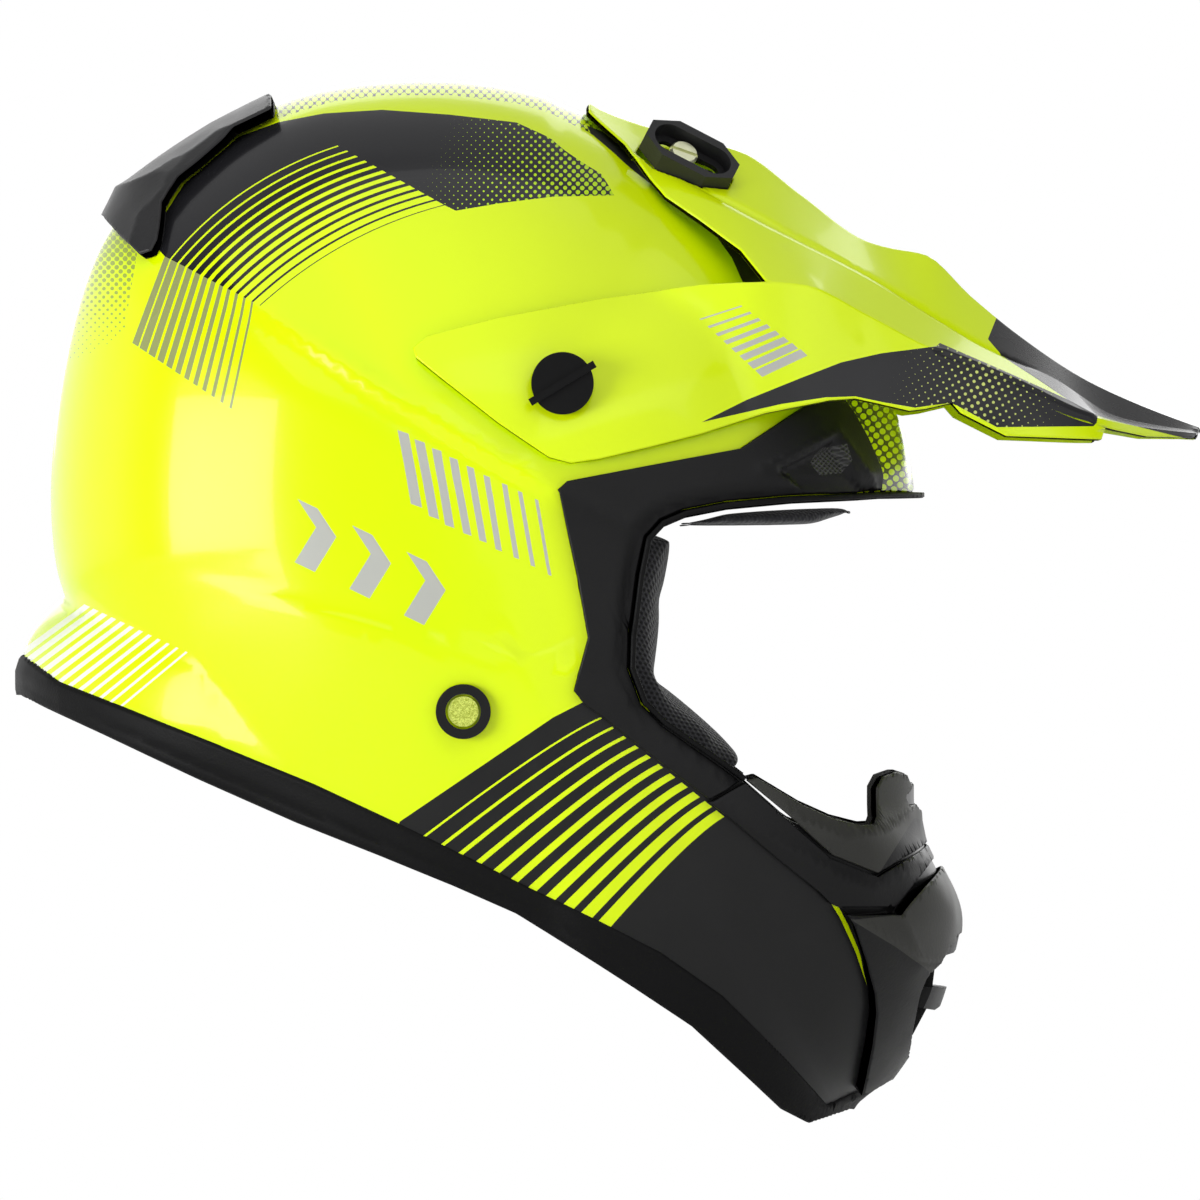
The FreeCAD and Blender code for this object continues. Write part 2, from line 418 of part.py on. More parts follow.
Z_LOW = [(-29.0, 32.5), (-1.0, 22.0), (26.9, 9.8), (40.9, 11.5), (54.9, 15.0), (72.4, 20.3), (90.6, 26.2), (110.9, 32.5), (134.0, 33.9), (154.0, 31.1), (170.4, 26.9), (186.2, 22.0), (210.0, 22.0), (229.9, 21.3), (254.4, 19.9)]
YX = [x for x, z in [(40.9, 179.5), (72.4, 179.5), (90.6, 179.5), (110.9, 179.5), (134.0, 179.5), (154.0, 179.5), (170.4, 179.5), (186.2, 179.5), (210.0, 179.5), (216.6, 179.5), (229.9, 179.5), (243.9, 179.5), (253.7, 179.5)]]
Y_RIDGE = list(zip(YX, [20, 24, 27, 30, 36, 38, 37, 35, 29, 26, 19, 12, 7]))
Y_GROOVE = list(zip(YX, [46, 54, 58, 61, 62, 60, 57, 53, 43, 39, 29, 18, 11]))
Y_CREASE = list(zip(YX, [90, 96, 96, 92, 87, 83, 80, 77, 71, 67, 48, 28, 15]))
Y_LOW = list(zip(YX, [100, 106, 106, 103, 97, 92, 88, 84, 76, 71, 51, 30, 17]))


def visor_section(x, drop):
    """Half arch of the visor at x, from the centre plane to below the lower edge; drop is the distance in from the outer face."""
    zt, zg, zc, zl = interp(Z_TOP, x), interp(Z_GROOVE, x), interp(Z_CREASE, x), interp(Z_LOW, x)
    yr, yg, yc, yl = interp(Y_RIDGE, x), interp(Y_GROOVE, x), interp(Y_CREASE, x), interp(Y_LOW, x)
    pts = [(0.0, zt), (yr * 0.5, zt), (yr, zt - 0.6), ((yr + yg) / 2, (zt - 0.6) * 0.5 + zg * 0.5), (yg, zg)]
    for t in (0.2, 0.4, 0.6, 0.8, 1.0):
        pts.append((yg + (yc - yg) * t, zg + (zc - zg) * t))
    for t in (0.25, 0.5, 0.75, 1.0):
        pts.append((yc + (yl - yc) * t, zc + (zl - zc) * t))
    clear = D("visor_clearance") + D("visor_thick")
    fixed = []
    for i, (y, z) in enumerate(pts):
        w = half(x, z)
        if w > 0 and i >= 4:
            y = max(y, w + clear)
        fixed.append((y, z))
    if drop == 0:
        return fixed
    inner = []
    n = len(fixed)
    for i, (y, z) in enumerate(fixed):
        y0, z0 = fixed[i - 1] if i > 0 else (-fixed[1][0], fixed[1][1])
        y1, z1 = fixed[i + 1] if i < n - 1 else (2 * y - y0, 2 * z - z0)
        dy, dz = y1 - y0, z1 - z0
        l = math.hypot(dy, dz)
        inner.append((y + drop * dz / l if i > 0 else 0.0, z - drop * dy / l))
    return inner


wires = []
for x in VX:
    o, n_ = visor_section(x, 0), visor_section(x, D("visor_thick") * (0.4 if x > 240 else 1.0))
    n_ = [(max(y, 0.0), z) for y, z in n_]
    loop = [(-y, z) for y, z in reversed(o)] + o[1:] + list(reversed(n_)) + [(-y, z) for y, z in n_[1:]]
    wires.append(Part.makePolygon([V(x, y, z) for y, z in loop] + [V(x, loop[0][0], loop[0][1])]))
arch = Part.makeLoft(wires, True, True, False)
visor = arch.common(prism(VISOR))
seat = D("knob_seat_y")
for s in (-1, 1):
    visor = visor.cut(cyl(13.4, 12.0, V(PX0, s * seat, PZ0), V(0, s, 0))).fuse(cyl(13.4, 4.0, V(PX0, s * (seat - 4.0), PZ0), V(0, s, 0)))
# room over the shell at rest and at both ends of the tilt
visor = visor.cut(body(2.0))
for end in (-D("visor_tilt_up") - 0.3, D("visor_tilt_down") + 0.3):
    room = body(0.25).copy()
    room.rotate(V(PX0, 0, PZ0), V(0, -1, 0), end)
    visor = visor.cut(room)
visor = max(visor.Solids, key=lambda q: q.Volume)
visor = visor.cut(cyl(D("knob_shank_dia") / 2 + 0.35, 300, V(PX0, -150, PZ0), V(0, 1, 0)))
bezel_cut = obround_in(D("bezel_length") + 0.5, D("bezel_width") + 0.5, 30, bezel_mid, -18)
visor = visor.cut(bezel_cut.fuse(mirrored(bezel_cut)))
add("visor", visor)

# slot bezels: a raised oval frame round an arc-shaped slot, with the screw's seat sunk in it
bz = obround_in(D("bezel_length"), D("bezel_width"), D("bezel_height"), bezel_mid, -2.6)
bz = bz.cut(obround(D("slot_travel") + 12.0, 12.6, 20, bezel_mid, -0.7))
bz = bz.cut(obround(D("slot_travel") + D("slot_width"), D("slot_width"), 40, bezel_mid, -20))
add("visor_slot_bezels", Part.makeCompound([bz, mirrored(bz)]))

# ---------------------------------------------------------------- screws, knobs, inserts


def pd_body(label):
    b = doc.addObject("PartDesign::Body", label)
    b.Label = label
    return b


def plane(b, role):
    return [f for f in b.Origin.OriginFeatures if f.Role == role][0]


def sketch_on(b, role, name):
    s = b.newObject("Sketcher::SketchObject", name)
    s.AttachmentSupport = [(plane(b, role), "")]
    s.MapMode = "FlatFace"
    return s


def lines(s, pts, closed=True):
    n = len(pts)
    for i in range(n if closed else n - 1):
        a, c = pts[i], pts[(i + 1) % n]
        s.addGeometry(Part.LineSegment(V(a[0], a[1], 0), V(c[0], c[1], 0)), False)


def bind(s, geo, kind, expr, *more):
    import Sketcher
    i = s.addConstraint(Sketcher.Constraint(kind, geo, *more, 1.0))
    s.setExpression("Constraints[%d]" % i, expr)


def knob(label, sign):
    """Coin knob of a visor pivot: round head with a grip bar across it, on a threaded shank. Local +Z points out."""
    b = pd_body(label)
    sk = b.newObject("Sketcher::SketchObject", label + "_head")
    sk.AttachmentSupport = [(plane(b, "XY_Plane"), "")]
    sk.MapMode = "FlatFace"
    import Sketcher
    g = sk.addGeometry(Part.Circle(V(0, 0, 0), V(0, 0, 1), 10.0), False)
    sk.addConstraint(Sketcher.Constraint("Coincident", g, 3, -1, 1))
    c = sk.addConstraint(Sketcher.Constraint("Radius", g, 10.0))
    sk.setExpression("Constraints[%d]" % c, "dims.knob_dia / 2")
    pad = b.newObject("PartDesign::Pad", label + "_head_pad")
    pad.Profile = sk
    pad.setExpression("Length", "dims.knob_height")
    doc.recompute()
    # shank
    sk2 = sketch_on(b, "XY_Plane", label + "_shank")
    g = sk2.addGeometry(Part.Circle(V(0, 0, 0), V(0, 0, 1), 3.0), False)
    sk2.addConstraint(Sketcher.Constraint("Coincident", g, 3, -1, 1))
    c = sk2.addConstraint(Sketcher.Constraint("Radius", g, 3.0))
    sk2.setExpression("Constraints[%d]" % c, "dims.knob_shank_dia / 2 - 0.2")
    sh = b.newObject("PartDesign::Pad", label + "_shank_pad")
    sh.Profile = sk2
    sh.Reversed = True
    sh.setExpression("Length", "dims.knob_shank_length")
    doc.recompute()
    # bar
    sk3 = sketch_on(b, "XY_Plane", label + "_bar")
    sk3.AttachmentOffset = FreeCAD.Placement(V(0, 0, D("knob_height") - 0.4), FreeCAD.Rotation())
    l, w = D("knob_bar_length") / 2, D("knob_bar_width") / 2
    lines(sk3, [(-l, -w), (l, -w), (l, w), (-l, w)])
    bar = b.newObject("PartDesign::Pad", label + "_bar_pad")
    bar.Profile = sk3
    bar.setExpression("Length", "dims.knob_bar_height")
    doc.recompute()
    rot = FreeCAD.Rotation(V(1, 0, 0), 90 if sign < 0 else -90)
    spin = FreeCAD.Rotation(V(0, 1, 0), -D("knob_bar_angle"))
    b.Placement = FreeCAD.Placement(V(PX0, sign * (seat + 0.15), PZ0), spin.multiply(rot))
    NODES.append((label, b))
    return b


knob("visor_knob_right", -1)
knob("visor_knob_left", 1)


def top_screw(label, s):
    """Coin-slotted cap screw on the bezel's floor: a revolved head and shank with a cross slot. Local +Z points out."""
    import Sketcher
    b = pd_body(label)
    sk = sketch_on(b, "XZ_Plane", label + "_profile")
    r, h = D("top_screw_head_dia") / 2, D("top_screw_head_height")
    q, l = D("top_screw_shank_dia") / 2, D("top_screw_shank_length")
    lines(sk, [(0, -l), (q, -l), (q, 0), (r, 0), (r, h * 0.7), (r - 0.7, h), (0, h)])
    rev = b.newObject("PartDesign::Revolution", label + "_turned")
    rev.Profile = sk
    rev.ReferenceAxis = (sk, ["V_Axis"])
    rev.Angle = 360.0
    doc.recompute()
    sk2 = sketch_on(b, "XY_Plane", label + "_slot")
    sk2.AttachmentOffset = FreeCAD.Placement(V(0, 0, h), FreeCAD.Rotation())
    lines(sk2, [(-r - 1, -0.7), (r + 1, -0.7), (r + 1, 0.7), (-r - 1, 0.7)])
    pk = b.newObject("PartDesign::Pocket", label + "_slot_cut")
    pk.Profile = sk2
    pk.Length = 1.3
    doc.recompute()
    axis = V(nrm.x, nrm.y * s, nrm.z)
    p = V(top_seat.x, top_seat.y * s, top_seat.z)
    b.Placement = FreeCAD.Placement(p, FreeCAD.Rotation(V(0, 0, 1), axis))
    NODES.append((label, b))


top_screw("visor_top_screw_right", 1)
top_screw("visor_top_screw_left", -1)

# threaded inserts moulded into the shell: two at the pivots, two at the top screws
y_in = half(PX0, PZ0, -D("shell_wall")) - 3.0
ins = []
for s in (-1, 1):
    c = cyl(D("insert_dia") / 2, D("insert_length"), V(PX0, s * (y_in - 0.5), PZ0), V(0, s, 0))
    ins.append(c.cut(cyl(D("knob_shank_dia") / 2, 40, V(PX0, s * (y_in - 5), PZ0), V(0, s, 0))))
# distance from the bezel floor to the shell along the screw's axis
t = 0.0
while half((top_seat - nrm * t).x, (top_seat - nrm * t).z) < abs((top_seat - nrm * t).y):
    t += 0.1
base = top_seat - nrm * (t + 4.5)
c = cyl(D("insert_dia") / 2, 6.0, base, nrm).cut(cyl(D("top_screw_shank_dia") / 2 + 0.1, 60, base - nrm * 20, nrm))
ins += [c, mirrored(c)]
add("threaded_inserts", Part.makeCompound(ins))

# spacers between shell and visor round each screw
sp = []
for s in (-1, 1):
    c = cyl(8.0, 30.0, V(PX0, s * 100.0, PZ0), V(0, s, 0)).cut(cyl(D("knob_shank_dia") / 2 + 0.2, 60, V(PX0, s * 90, PZ0), V(0, s, 0)))
    c = c.common(body(D("rim_outer"))).cut(body(0.25))
    c = c.cut(cyl(D("insert_dia") / 2 + 0.2, D("insert_length") + 1.0, V(PX0, s * (y_in - 1.0), PZ0), V(0, s, 0)))
    sp.append(c)
c = cyl(5.4, t + 3.0, top_seat - nrm * (t + 6.2), nrm).cut(cyl(D("top_screw_shank_dia") / 2 + 0.2, 80, top_seat - nrm * 40, nrm))
c = c.cut(body(0.25)).cut(cyl(D("insert_dia") / 2 + 0.2, 6.3, base, nrm))
sp += [c, mirrored(c)]
add("visor_spacers", Part.makeCompound(sp))

# ---------------------------------------------------------------- chin strap


def seat_height(r):
    """Highest point of the shell's side within r of the anchor's axis."""
    return max(half(AX + r * math.cos(math.radians(a)), AZ + r * math.sin(math.radians(a))) for a in range(0, 360, 10))


anchor_y = half(AX, AZ)
ring_y = seat_height(D("anchor_ring_dia") / 2) + 0.2
cap_y = seat_height(D("anchor_cap_dia") / 2) + 0.2


def plain_ring(label, r_out_expr, r_in_expr, h, y, s):
    """Flat ring as a cut of two cylinders bound to the sheet, axis along Y."""
    a = doc.addObject("Part::Cylinder", label + "_outer")
    a.setExpression("Radius", r_out_expr)
    a.Height = h
    c_ = doc.addObject("Part::Cylinder", label + "_bore")
    c_.setExpression("Radius", r_in_expr)
    c_.Height = h + 2
    c_.Placement = FreeCAD.Placement(V(0, 0, -1), FreeCAD.Rotation())
    cut = doc.addObject("Part::Cut", label)
    cut.Base = a
    cut.Tool = c_
    doc.recompute()
    cut.Placement = FreeCAD.Placement(V(AX, s * y, AZ), FreeCAD.Rotation(V(1, 0, 0), -90 if s > 0 else 90))
    doc.recompute()
    return cut


for s, name in ((-1, "right"), (1, "left")):
    ring = plain_ring("strap_anchor_washer_" + name, "dims.anchor_ring_dia / 2", "dims.anchor_cap_dia / 2 + 0.8", 2.2, ring_y, s)
    ring.Label = "strap_anchor_washer_" + name
    NODES.append((ring.Label, ring))
rv = []
for s in (-1, 1):
    cap = cyl(D("anchor_cap_dia") / 2, 2.0, V(AX, s * cap_y, AZ), V(0, s, 0))
    shank = cyl(D("anchor_shank_dia") / 2, cap_y + 0.5 - (anchor_y - 9.6), V(AX, s * (anchor_y - 9.6), AZ), V(0, s, 0))
    rv.append(cap.fuse(shank).removeSplitter())
add("strap_anchor_rivets", Part.makeCompound(rv))


strap_r = ribbon(strap_pts, across, sw, stt)
end_dir = (strap_pts[-1] - strap_pts[-2]).normalize()
uu = across[-1] - end_dir * across[-1].dot(end_dir)
uu.normalize()
ww = end_dir.cross(uu)  # normal of the webbing at its end
wd = D("ring_wire_dia")


def frame_box(o, l, w_, h):
    """Box centred on o in the webbing's end frame: l along the strap, w_ across, h thick."""
    m = FreeCAD.Matrix(end_dir.x, uu.x, ww.x, o.x, end_dir.y, uu.y, ww.y, o.y, end_dir.z, uu.z, ww.z, o.z, 0, 0, 0, 1)
    bx = Part.makeBox(l, w_, h, V(-l / 2, -w_ / 2, -h / 2))
    bx.Placement = FreeCAD.Placement(m)
    return bx


# loop sewn round the straight bars of both rings
loop_len = 2 * wd + 1.4
loop_c = strap_pts[-1] + end_dir * (loop_len / 2 + stt * 0.5)
loop = frame_box(loop_c, loop_len + 2 * stt, sw, wd + 0.8 + 2 * stt).cut(frame_box(loop_c, loop_len, sw + 2, wd + 0.8))
strap_r = strap_r.cut(frame_box(loop_c, loop_len + 2 * stt - 0.01, sw + 2, wd + 0.8 + 2 * stt)).fuse(loop).removeSplitter()
anch = cyl(D("anchor_shank_dia") / 2 + 0.3, 30, V(AX, -anchor_y - 5, AZ), V(0, 1, 0))
strap_r = strap_r.cut(anch)
add("chin_strap_right", strap_r)


def d_ring(label, h, widen):
    """D ring of round wire: straight bar in the loop and a bow beyond it. Local Y is the bar, local X the pull."""
    b = pd_body(label)
    import Sketcher
    spine = sketch_on(b, "XY_Plane", label + "_spine")
    w_ = D("ring_window") / 2 + wd / 2 + widen
    r = 8.0
    # straight bar, two legs, rounded bow
    spine.addGeometry(Part.LineSegment(V(0, -w_ + 3, 0), V(0, w_ - 3, 0)), False)
    spine.addGeometry(Part.ArcOfCircle(Part.Circle(V(3, w_ - 3, 0), V(0, 0, 1), 3), math.pi / 2, math.pi), False)
    spine.addGeometry(Part.LineSegment(V(3, w_, 0), V(h - r, w_, 0)), False)
    spine.addGeometry(Part.ArcOfCircle(Part.Circle(V(h - r, w_ - r, 0), V(0, 0, 1), r), 0, math.pi / 2), False)
    spine.addGeometry(Part.LineSegment(V(h, w_ - r, 0), V(h, -w_ + r, 0)), False)
    spine.addGeometry(Part.ArcOfCircle(Part.Circle(V(h - r, -w_ + r, 0), V(0, 0, 1), r), -math.pi / 2, 0), False)
    spine.addGeometry(Part.LineSegment(V(h - r, -w_, 0), V(3, -w_, 0)), False)
    spine.addGeometry(Part.ArcOfCircle(Part.Circle(V(3, -w_ + 3, 0), V(0, 0, 1), 3), math.pi, 1.5 * math.pi), False)
    sec = sketch_on(b, "XZ_Plane", label + "_wire")
    g = sec.addGeometry(Part.Circle(V(0, 0, 0), V(0, 0, 1), wd / 2), False)
    sec.addConstraint(Sketcher.Constraint("Coincident", g, 3, -1, 1))
    c = sec.addConstraint(Sketcher.Constraint("Radius", g, wd / 2))
    sec.setExpression("Constraints[%d]" % c, "dims.ring_wire_dia / 2")
    doc.recompute()
    pipe = b.newObject("PartDesign::AdditivePipe", label + "_bent")
    pipe.Profile = sec
    pipe.Spine = spine
    doc.recompute()
    return b


ring_axes = []
for label, k, h, widen, tilt in (("d_ring_inner", 1, 20.0, 0.0, 14.0), ("d_ring_outer", -1, 27.0, 4.2, 0.0)):
    o = loop_c + end_dir * (k * (wd / 2 + 0.25))
    b = d_ring(label, h, widen)
    m = FreeCAD.Matrix(end_dir.x, uu.x, ww.x, o.x, end_dir.y, uu.y, ww.y, o.y, end_dir.z, uu.z, ww.z, o.z, 0, 0, 0, 1)
    pl = FreeCAD.Placement(m)
    b.Placement = pl.multiply(FreeCAD.Placement(V(0, 0, 0), FreeCAD.Rotation(V(0, 1, 0), -tilt)))
    NODES.append((label, b))
    ring_axes.append((label, o))

# left strap: from the left anchor under the chin, up through both rings' windows and folded back over their bows
lp = [V(p.x, -p.y, p.z) for p in strap_pts[:7]]
THREAD = [(98, -3.5), (44, -5.2), (30, -5.1), (21, -4.9), (15.5, -3.9), (12.4, -1.4), (11.4, 2.2), (11.6, 6.2), (14.0, 9.6), (19.0, 11.4), (28.0, 11.8), (42.0, 11.4), (54.0, 10.4)]
lp += [loop_c + end_dir * e_ + ww * n_ for e_, n_ in THREAD]
la = [V(0.92, 0, 0.40)] * 5 + [V(0.90, -0.1, 0.42), V(0.90, -0.1, 0.43)] + [uu] * len(THREAD)
strap_l = ribbon(lp, la, sw, stt)
strap_l = strap_l.cut(mirrored(anch))
add("chin_strap_left", strap_l)

for label, o in ring_axes:
    print("AXIS", label, [round(v / 1000, 6) for v in (o.x, o.y, o.z)], [round(v, 6) for v in (uu.x, uu.y, uu.z)])
print("end_dir", end_dir, "ww", ww)
print("TOPSCREW", [round(v / 1000, 6) for v in (top_seat.x, top_seat.y, top_seat.z)], [round(v, 6) for v in (nrm.x, nrm.y, nrm.z)], "t", t, "anchor_y", anchor_y, "y_in", y_in)

# ---------------------------------------------------------------- check and write
doc.recompute()
os.makedirs("parts", exist_ok=True)
for f in os.listdir("parts"):
    if f.endswith(".step"):
        os.remove(os.path.join("parts", f))
bad = []
for o in doc.Objects:
    if any(s in ("Invalid", "Error") for s in o.State):
        bad.append((o.Label, o.State))
for label, o in NODES:
    sh = o.Shape
    if sh.isNull() or not sh.isValid() or not sh.Solids or min(s.Volume for s in sh.Solids) <= 0:
        bad.append((label, "shape"))
for label, o in NODES:
    print("%-28s solids %d vol %.0f" % (label, len(o.Shape.Solids), o.Shape.Volume))
if bad:
    raise SystemExit("failed objects: %s" % bad)
for label, o in NODES:
    o.Shape.exportStep("parts/%s.step" % label)
print("written", len(NODES))
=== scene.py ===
import bpy, bmesh, math, time
import numpy as np
from mathutils import Vector, Matrix
from mathutils.geometry import delaunay_2d_cdt
from mathutils.kdtree import KDTree


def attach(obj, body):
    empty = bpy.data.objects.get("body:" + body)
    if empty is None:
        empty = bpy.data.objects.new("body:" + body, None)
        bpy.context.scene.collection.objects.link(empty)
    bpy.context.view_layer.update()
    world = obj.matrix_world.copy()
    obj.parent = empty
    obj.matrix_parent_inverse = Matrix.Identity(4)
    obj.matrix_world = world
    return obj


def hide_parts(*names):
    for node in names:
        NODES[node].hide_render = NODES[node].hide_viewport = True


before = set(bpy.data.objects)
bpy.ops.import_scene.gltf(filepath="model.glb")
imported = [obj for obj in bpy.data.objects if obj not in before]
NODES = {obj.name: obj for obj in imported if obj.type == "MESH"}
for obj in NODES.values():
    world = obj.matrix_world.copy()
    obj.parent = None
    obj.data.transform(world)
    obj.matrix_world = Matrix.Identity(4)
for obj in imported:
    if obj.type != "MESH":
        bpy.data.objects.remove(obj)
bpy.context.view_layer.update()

MM = 0.001
scene = bpy.context.scene

# =============================================================== camera, light, floor
cam_data = bpy.data.cameras.new("camera")
cam_data.sensor_width = 36.0
cam_data.lens = 800.0
cam_data.clip_start, cam_data.clip_end = 1.0, 60.0
cam = bpy.data.objects.new("camera", cam_data)
scene.collection.objects.link(cam)
cam.location = (0.04095, -9.3333, -0.03045)
cam.rotation_euler = (math.radians(90), 0, 0)
scene.camera = cam
scene.view_settings.view_transform = "Standard"
scene.view_settings.look = "None"

world = bpy.data.worlds.new("studio")
scene.world = world
world.use_nodes = True
wt = world.node_tree
wt.nodes.clear()
wo = wt.nodes.new("ShaderNodeOutputWorld")
wb = wt.nodes.new("ShaderNodeBackground")
wc = wt.nodes.new("ShaderNodeTexCoord")
ws = wt.nodes.new("ShaderNodeSeparateXYZ")
wr = wt.nodes.new("ShaderNodeValToRGB")
wm = wt.nodes.new("ShaderNodeMath"); wm.operation = "MULTIPLY_ADD"; wm.inputs[1].default_value = 0.5; wm.inputs[2].default_value = 0.5
wt.links.new(wc.outputs["Generated"], ws.inputs[0])
wt.links.new(ws.outputs["Z"], wm.inputs[0])
wt.links.new(wm.outputs[0], wr.inputs[0])
# the half behind the object is white, the half on the viewer's side is dim, so that the gloss stays saturated
wy = wt.nodes.new("ShaderNodeMath"); wy.operation = "MULTIPLY_ADD"; wy.inputs[1].default_value = 3.0; wy.inputs[2].default_value = 0.35; wy.use_clamp = True
wt.links.new(ws.outputs["Y"], wy.inputs[0])
wf = wt.nodes.new("ShaderNodeMath"); wf.operation = "MULTIPLY_ADD"; wf.inputs[1].default_value = 0.78; wf.inputs[2].default_value = 0.22
wt.links.new(wy.outputs[0], wf.inputs[0])
wx = wt.nodes.new("ShaderNodeVectorMath"); wx.operation = "SCALE"
wt.links.new(wr.outputs[0], wx.inputs[0])
wt.links.new(wf.outputs[0], wx.inputs["Scale"])
wt.links.new(wx.outputs[0], wb.inputs[0])
wt.links.new(wb.outputs[0], wo.inputs[0])
cr = wr.color_ramp
cr.elements[0].position = 0.0; cr.elements[0].color = (0.12, 0.12, 0.12, 1)
cr.elements[1].position = 1.0; cr.elements[1].color = (0.55, 0.55, 0.55, 1)
for pos, val in ((0.30, 0.16), (0.46, 1.0), (0.56, 1.0), (0.72, 0.42)):
    e = cr.elements.new(pos); e.color = (val, val, val, 1)
wb.inputs[1].default_value = 1.0


def area(name, loc, target, size, power, size_y=None, colour=(1, 1, 1)):
    d = bpy.data.lights.new(name, "AREA")
    d.shape = "RECTANGLE"
    d.size = size
    d.size_y = size_y or size
    d.energy = power
    d.color = colour
    o = bpy.data.objects.new(name, d)
    scene.collection.objects.link(o)
    o.location = loc
    o.rotation_euler = (Vector(target) - Vector(loc)).to_track_quat("-Z", "Y").to_euler()
    return o


area("key_top", (0.15, -0.9, 1.5), (0.0, 0.0, 0.0), 2.2, 14.0)
area("fill_front", (0.9, -1.5, 0.15), (0.05, 0, -0.03), 2.2, 10.0)
area("glare_left", (-1.45, -1.15, -0.15), (-0.08, -0.06, -0.03), 1.3, 34.0, 1.1)
area("far_side", (0.1, 1.6, 0.7), (0.0, 0.0, 0.0), 1.4, 9.0)

floor = bpy.data.meshes.new("floor")
bmf = bmesh.new()
bmesh.ops.create_circle(bmf, cap_ends=True, segments=96, radius=1.45)
bmf.to_mesh(floor); bmf.free()
floor_o = bpy.data.objects.new("floor", floor)
scene.collection.objects.link(floor_o)
floor_o.location = (0, 0, -0.285)


# =============================================================== materials
def new_mat(name):
    m = bpy.data.materials.new(name)
    m.use_nodes = True
    nt = m.node_tree
    b = nt.nodes["Principled BSDF"]
    return m, nt, b


def N(nt, kind, **kw):
    n = nt.nodes.new(kind)
    for k, v in kw.items():
        setattr(n, k, v)
    return n


def put(nt, sock, v):
    if isinstance(v, bpy.types.NodeSocket):
        nt.links.new(v, sock)
    else:
        sock.default_value = v


def M(nt, op, a, b=None, c=None, clamp=False):
    n = nt.nodes.new("ShaderNodeMath")
    n.operation = op
    n.use_clamp = clamp
    for i, v in enumerate((a, b, c)):
        if v is not None:
            put(nt, n.inputs[i], v)
    return n.outputs[0]


def coords(nt, kind="Object"):
    t = nt.nodes.new("ShaderNodeTexCoord")
    return t.outputs[kind]


def xyz(nt, vec):
    s = nt.nodes.new("ShaderNodeSeparateXYZ")
    nt.links.new(vec, s.inputs[0])
    return s.outputs


def mixc(nt, f, a, b):
    n = nt.nodes.new("ShaderNodeMix")
    n.data_type = "RGBA"
    put(nt, n.inputs[0], f)
    put(nt, n.inputs[6], a)
    put(nt, n.inputs[7], b)
    return n.outputs[2]


def noise(nt, vec, scale, detail=3.0, rough=0.5):
    n = nt.nodes.new("ShaderNodeTexNoise")
    n.inputs["Scale"].default_value = scale
    n.inputs["Detail"].default_value = detail
    n.inputs["Roughness"].default_value = rough
    nt.links.new(vec, n.inputs["Vector"])
    return n.outputs["Fac"]


def bump(nt, b, height, strength, distance):
    n = nt.nodes.new("ShaderNodeBump")
    n.inputs["Strength"].default_value = strength
    n.inputs["Distance"].default_value = distance
    nt.links.new(height, n.inputs["Height"])
    nt.links.new(n.outputs[0], b.inputs["Normal"])
    return n


YEL = (0.78, 1.0, 0.0, 1.0)
YEL_DEEP = (0.52, 0.80, 0.0, 1.0)


def gloss(name, colour, rough=0.18, coat=0.28, emit=0.0, emit_col=None, peel=0.012):
    """Clear-coated moulding: slight tone drift, faint orange peel under a coat."""
    m, nt, b = new_mat(name)
    v = coords(nt)
    col = colour
    if not isinstance(colour, bpy.types.NodeSocket):
        dark = tuple(c * 0.94 for c in colour[:3]) + (1.0,)
        col = mixc(nt, noise(nt, v, 14.0), dark, colour)
    put(nt, b.inputs["Base Color"], col)
    rr = M(nt, "MULTIPLY_ADD", noise(nt, v, 45.0), 0.06, rough)
    nt.links.new(rr, b.inputs["Roughness"])
    b.inputs["Coat Weight"].default_value = coat
    b.inputs["Coat Roughness"].default_value = 0.05
    b.inputs["Specular IOR Level"].default_value = 0.25
    if emit:
        b.inputs["Emission Color"].default_value = emit_col or colour
        b.inputs["Emission Strength"].default_value = emit
    bump(nt, b, noise(nt, v, 420.0, 2.0), peel, 0.002)
    return m


def matte(name, colour, rough=0.55, grain=900.0, depth=0.12, spec=0.35, drift=0.35):
    """Moulded plastic with a fine spark-eroded grain, slightly polished in patches."""
    m, nt, b = new_mat(name)
    v = coords(nt)
    lo = tuple(c * (1 - drift) for c in colour[:3]) + (1.0,)
    hi = tuple(c * (1 + drift) for c in colour[:3]) + (1.0,)
    put(nt, b.inputs["Base Color"], mixc(nt, noise(nt, v, 30.0, 4.0), lo, hi))
    nt.links.new(M(nt, "MULTIPLY_ADD", noise(nt, v, 60.0, 3.0), 0.18, rough - 0.09), b.inputs["Roughness"])
    b.inputs["Specular IOR Level"].default_value = spec
    bump(nt, b, noise(nt, v, grain, 2.0, 0.6), depth, 0.0006)
    return m


def dot_mask(nt, pitch, angle, radius):
    """1 inside round dots on a turned square grid in the X-Z plane; radius is a share of the pitch."""
    o = xyz(nt, coords(nt))
    c, s = math.cos(angle) / pitch, math.sin(angle) / pitch
    a = M(nt, "ADD", M(nt, "MULTIPLY", o[0], c), M(nt, "MULTIPLY", o[2], s))
    d = M(nt, "SUBTRACT", M(nt, "MULTIPLY", o[2], c), M(nt, "MULTIPLY", o[0], s))
    fa = M(nt, "SUBTRACT", M(nt, "FRACT", a), 0.5)
    fd = M(nt, "SUBTRACT", M(nt, "FRACT", d), 0.5)
    r = M(nt, "SQRT", M(nt, "ADD", M(nt, "MULTIPLY", fa, fa), M(nt, "MULTIPLY", fd, fd)))
    return M(nt, "LESS_THAN", r, radius)


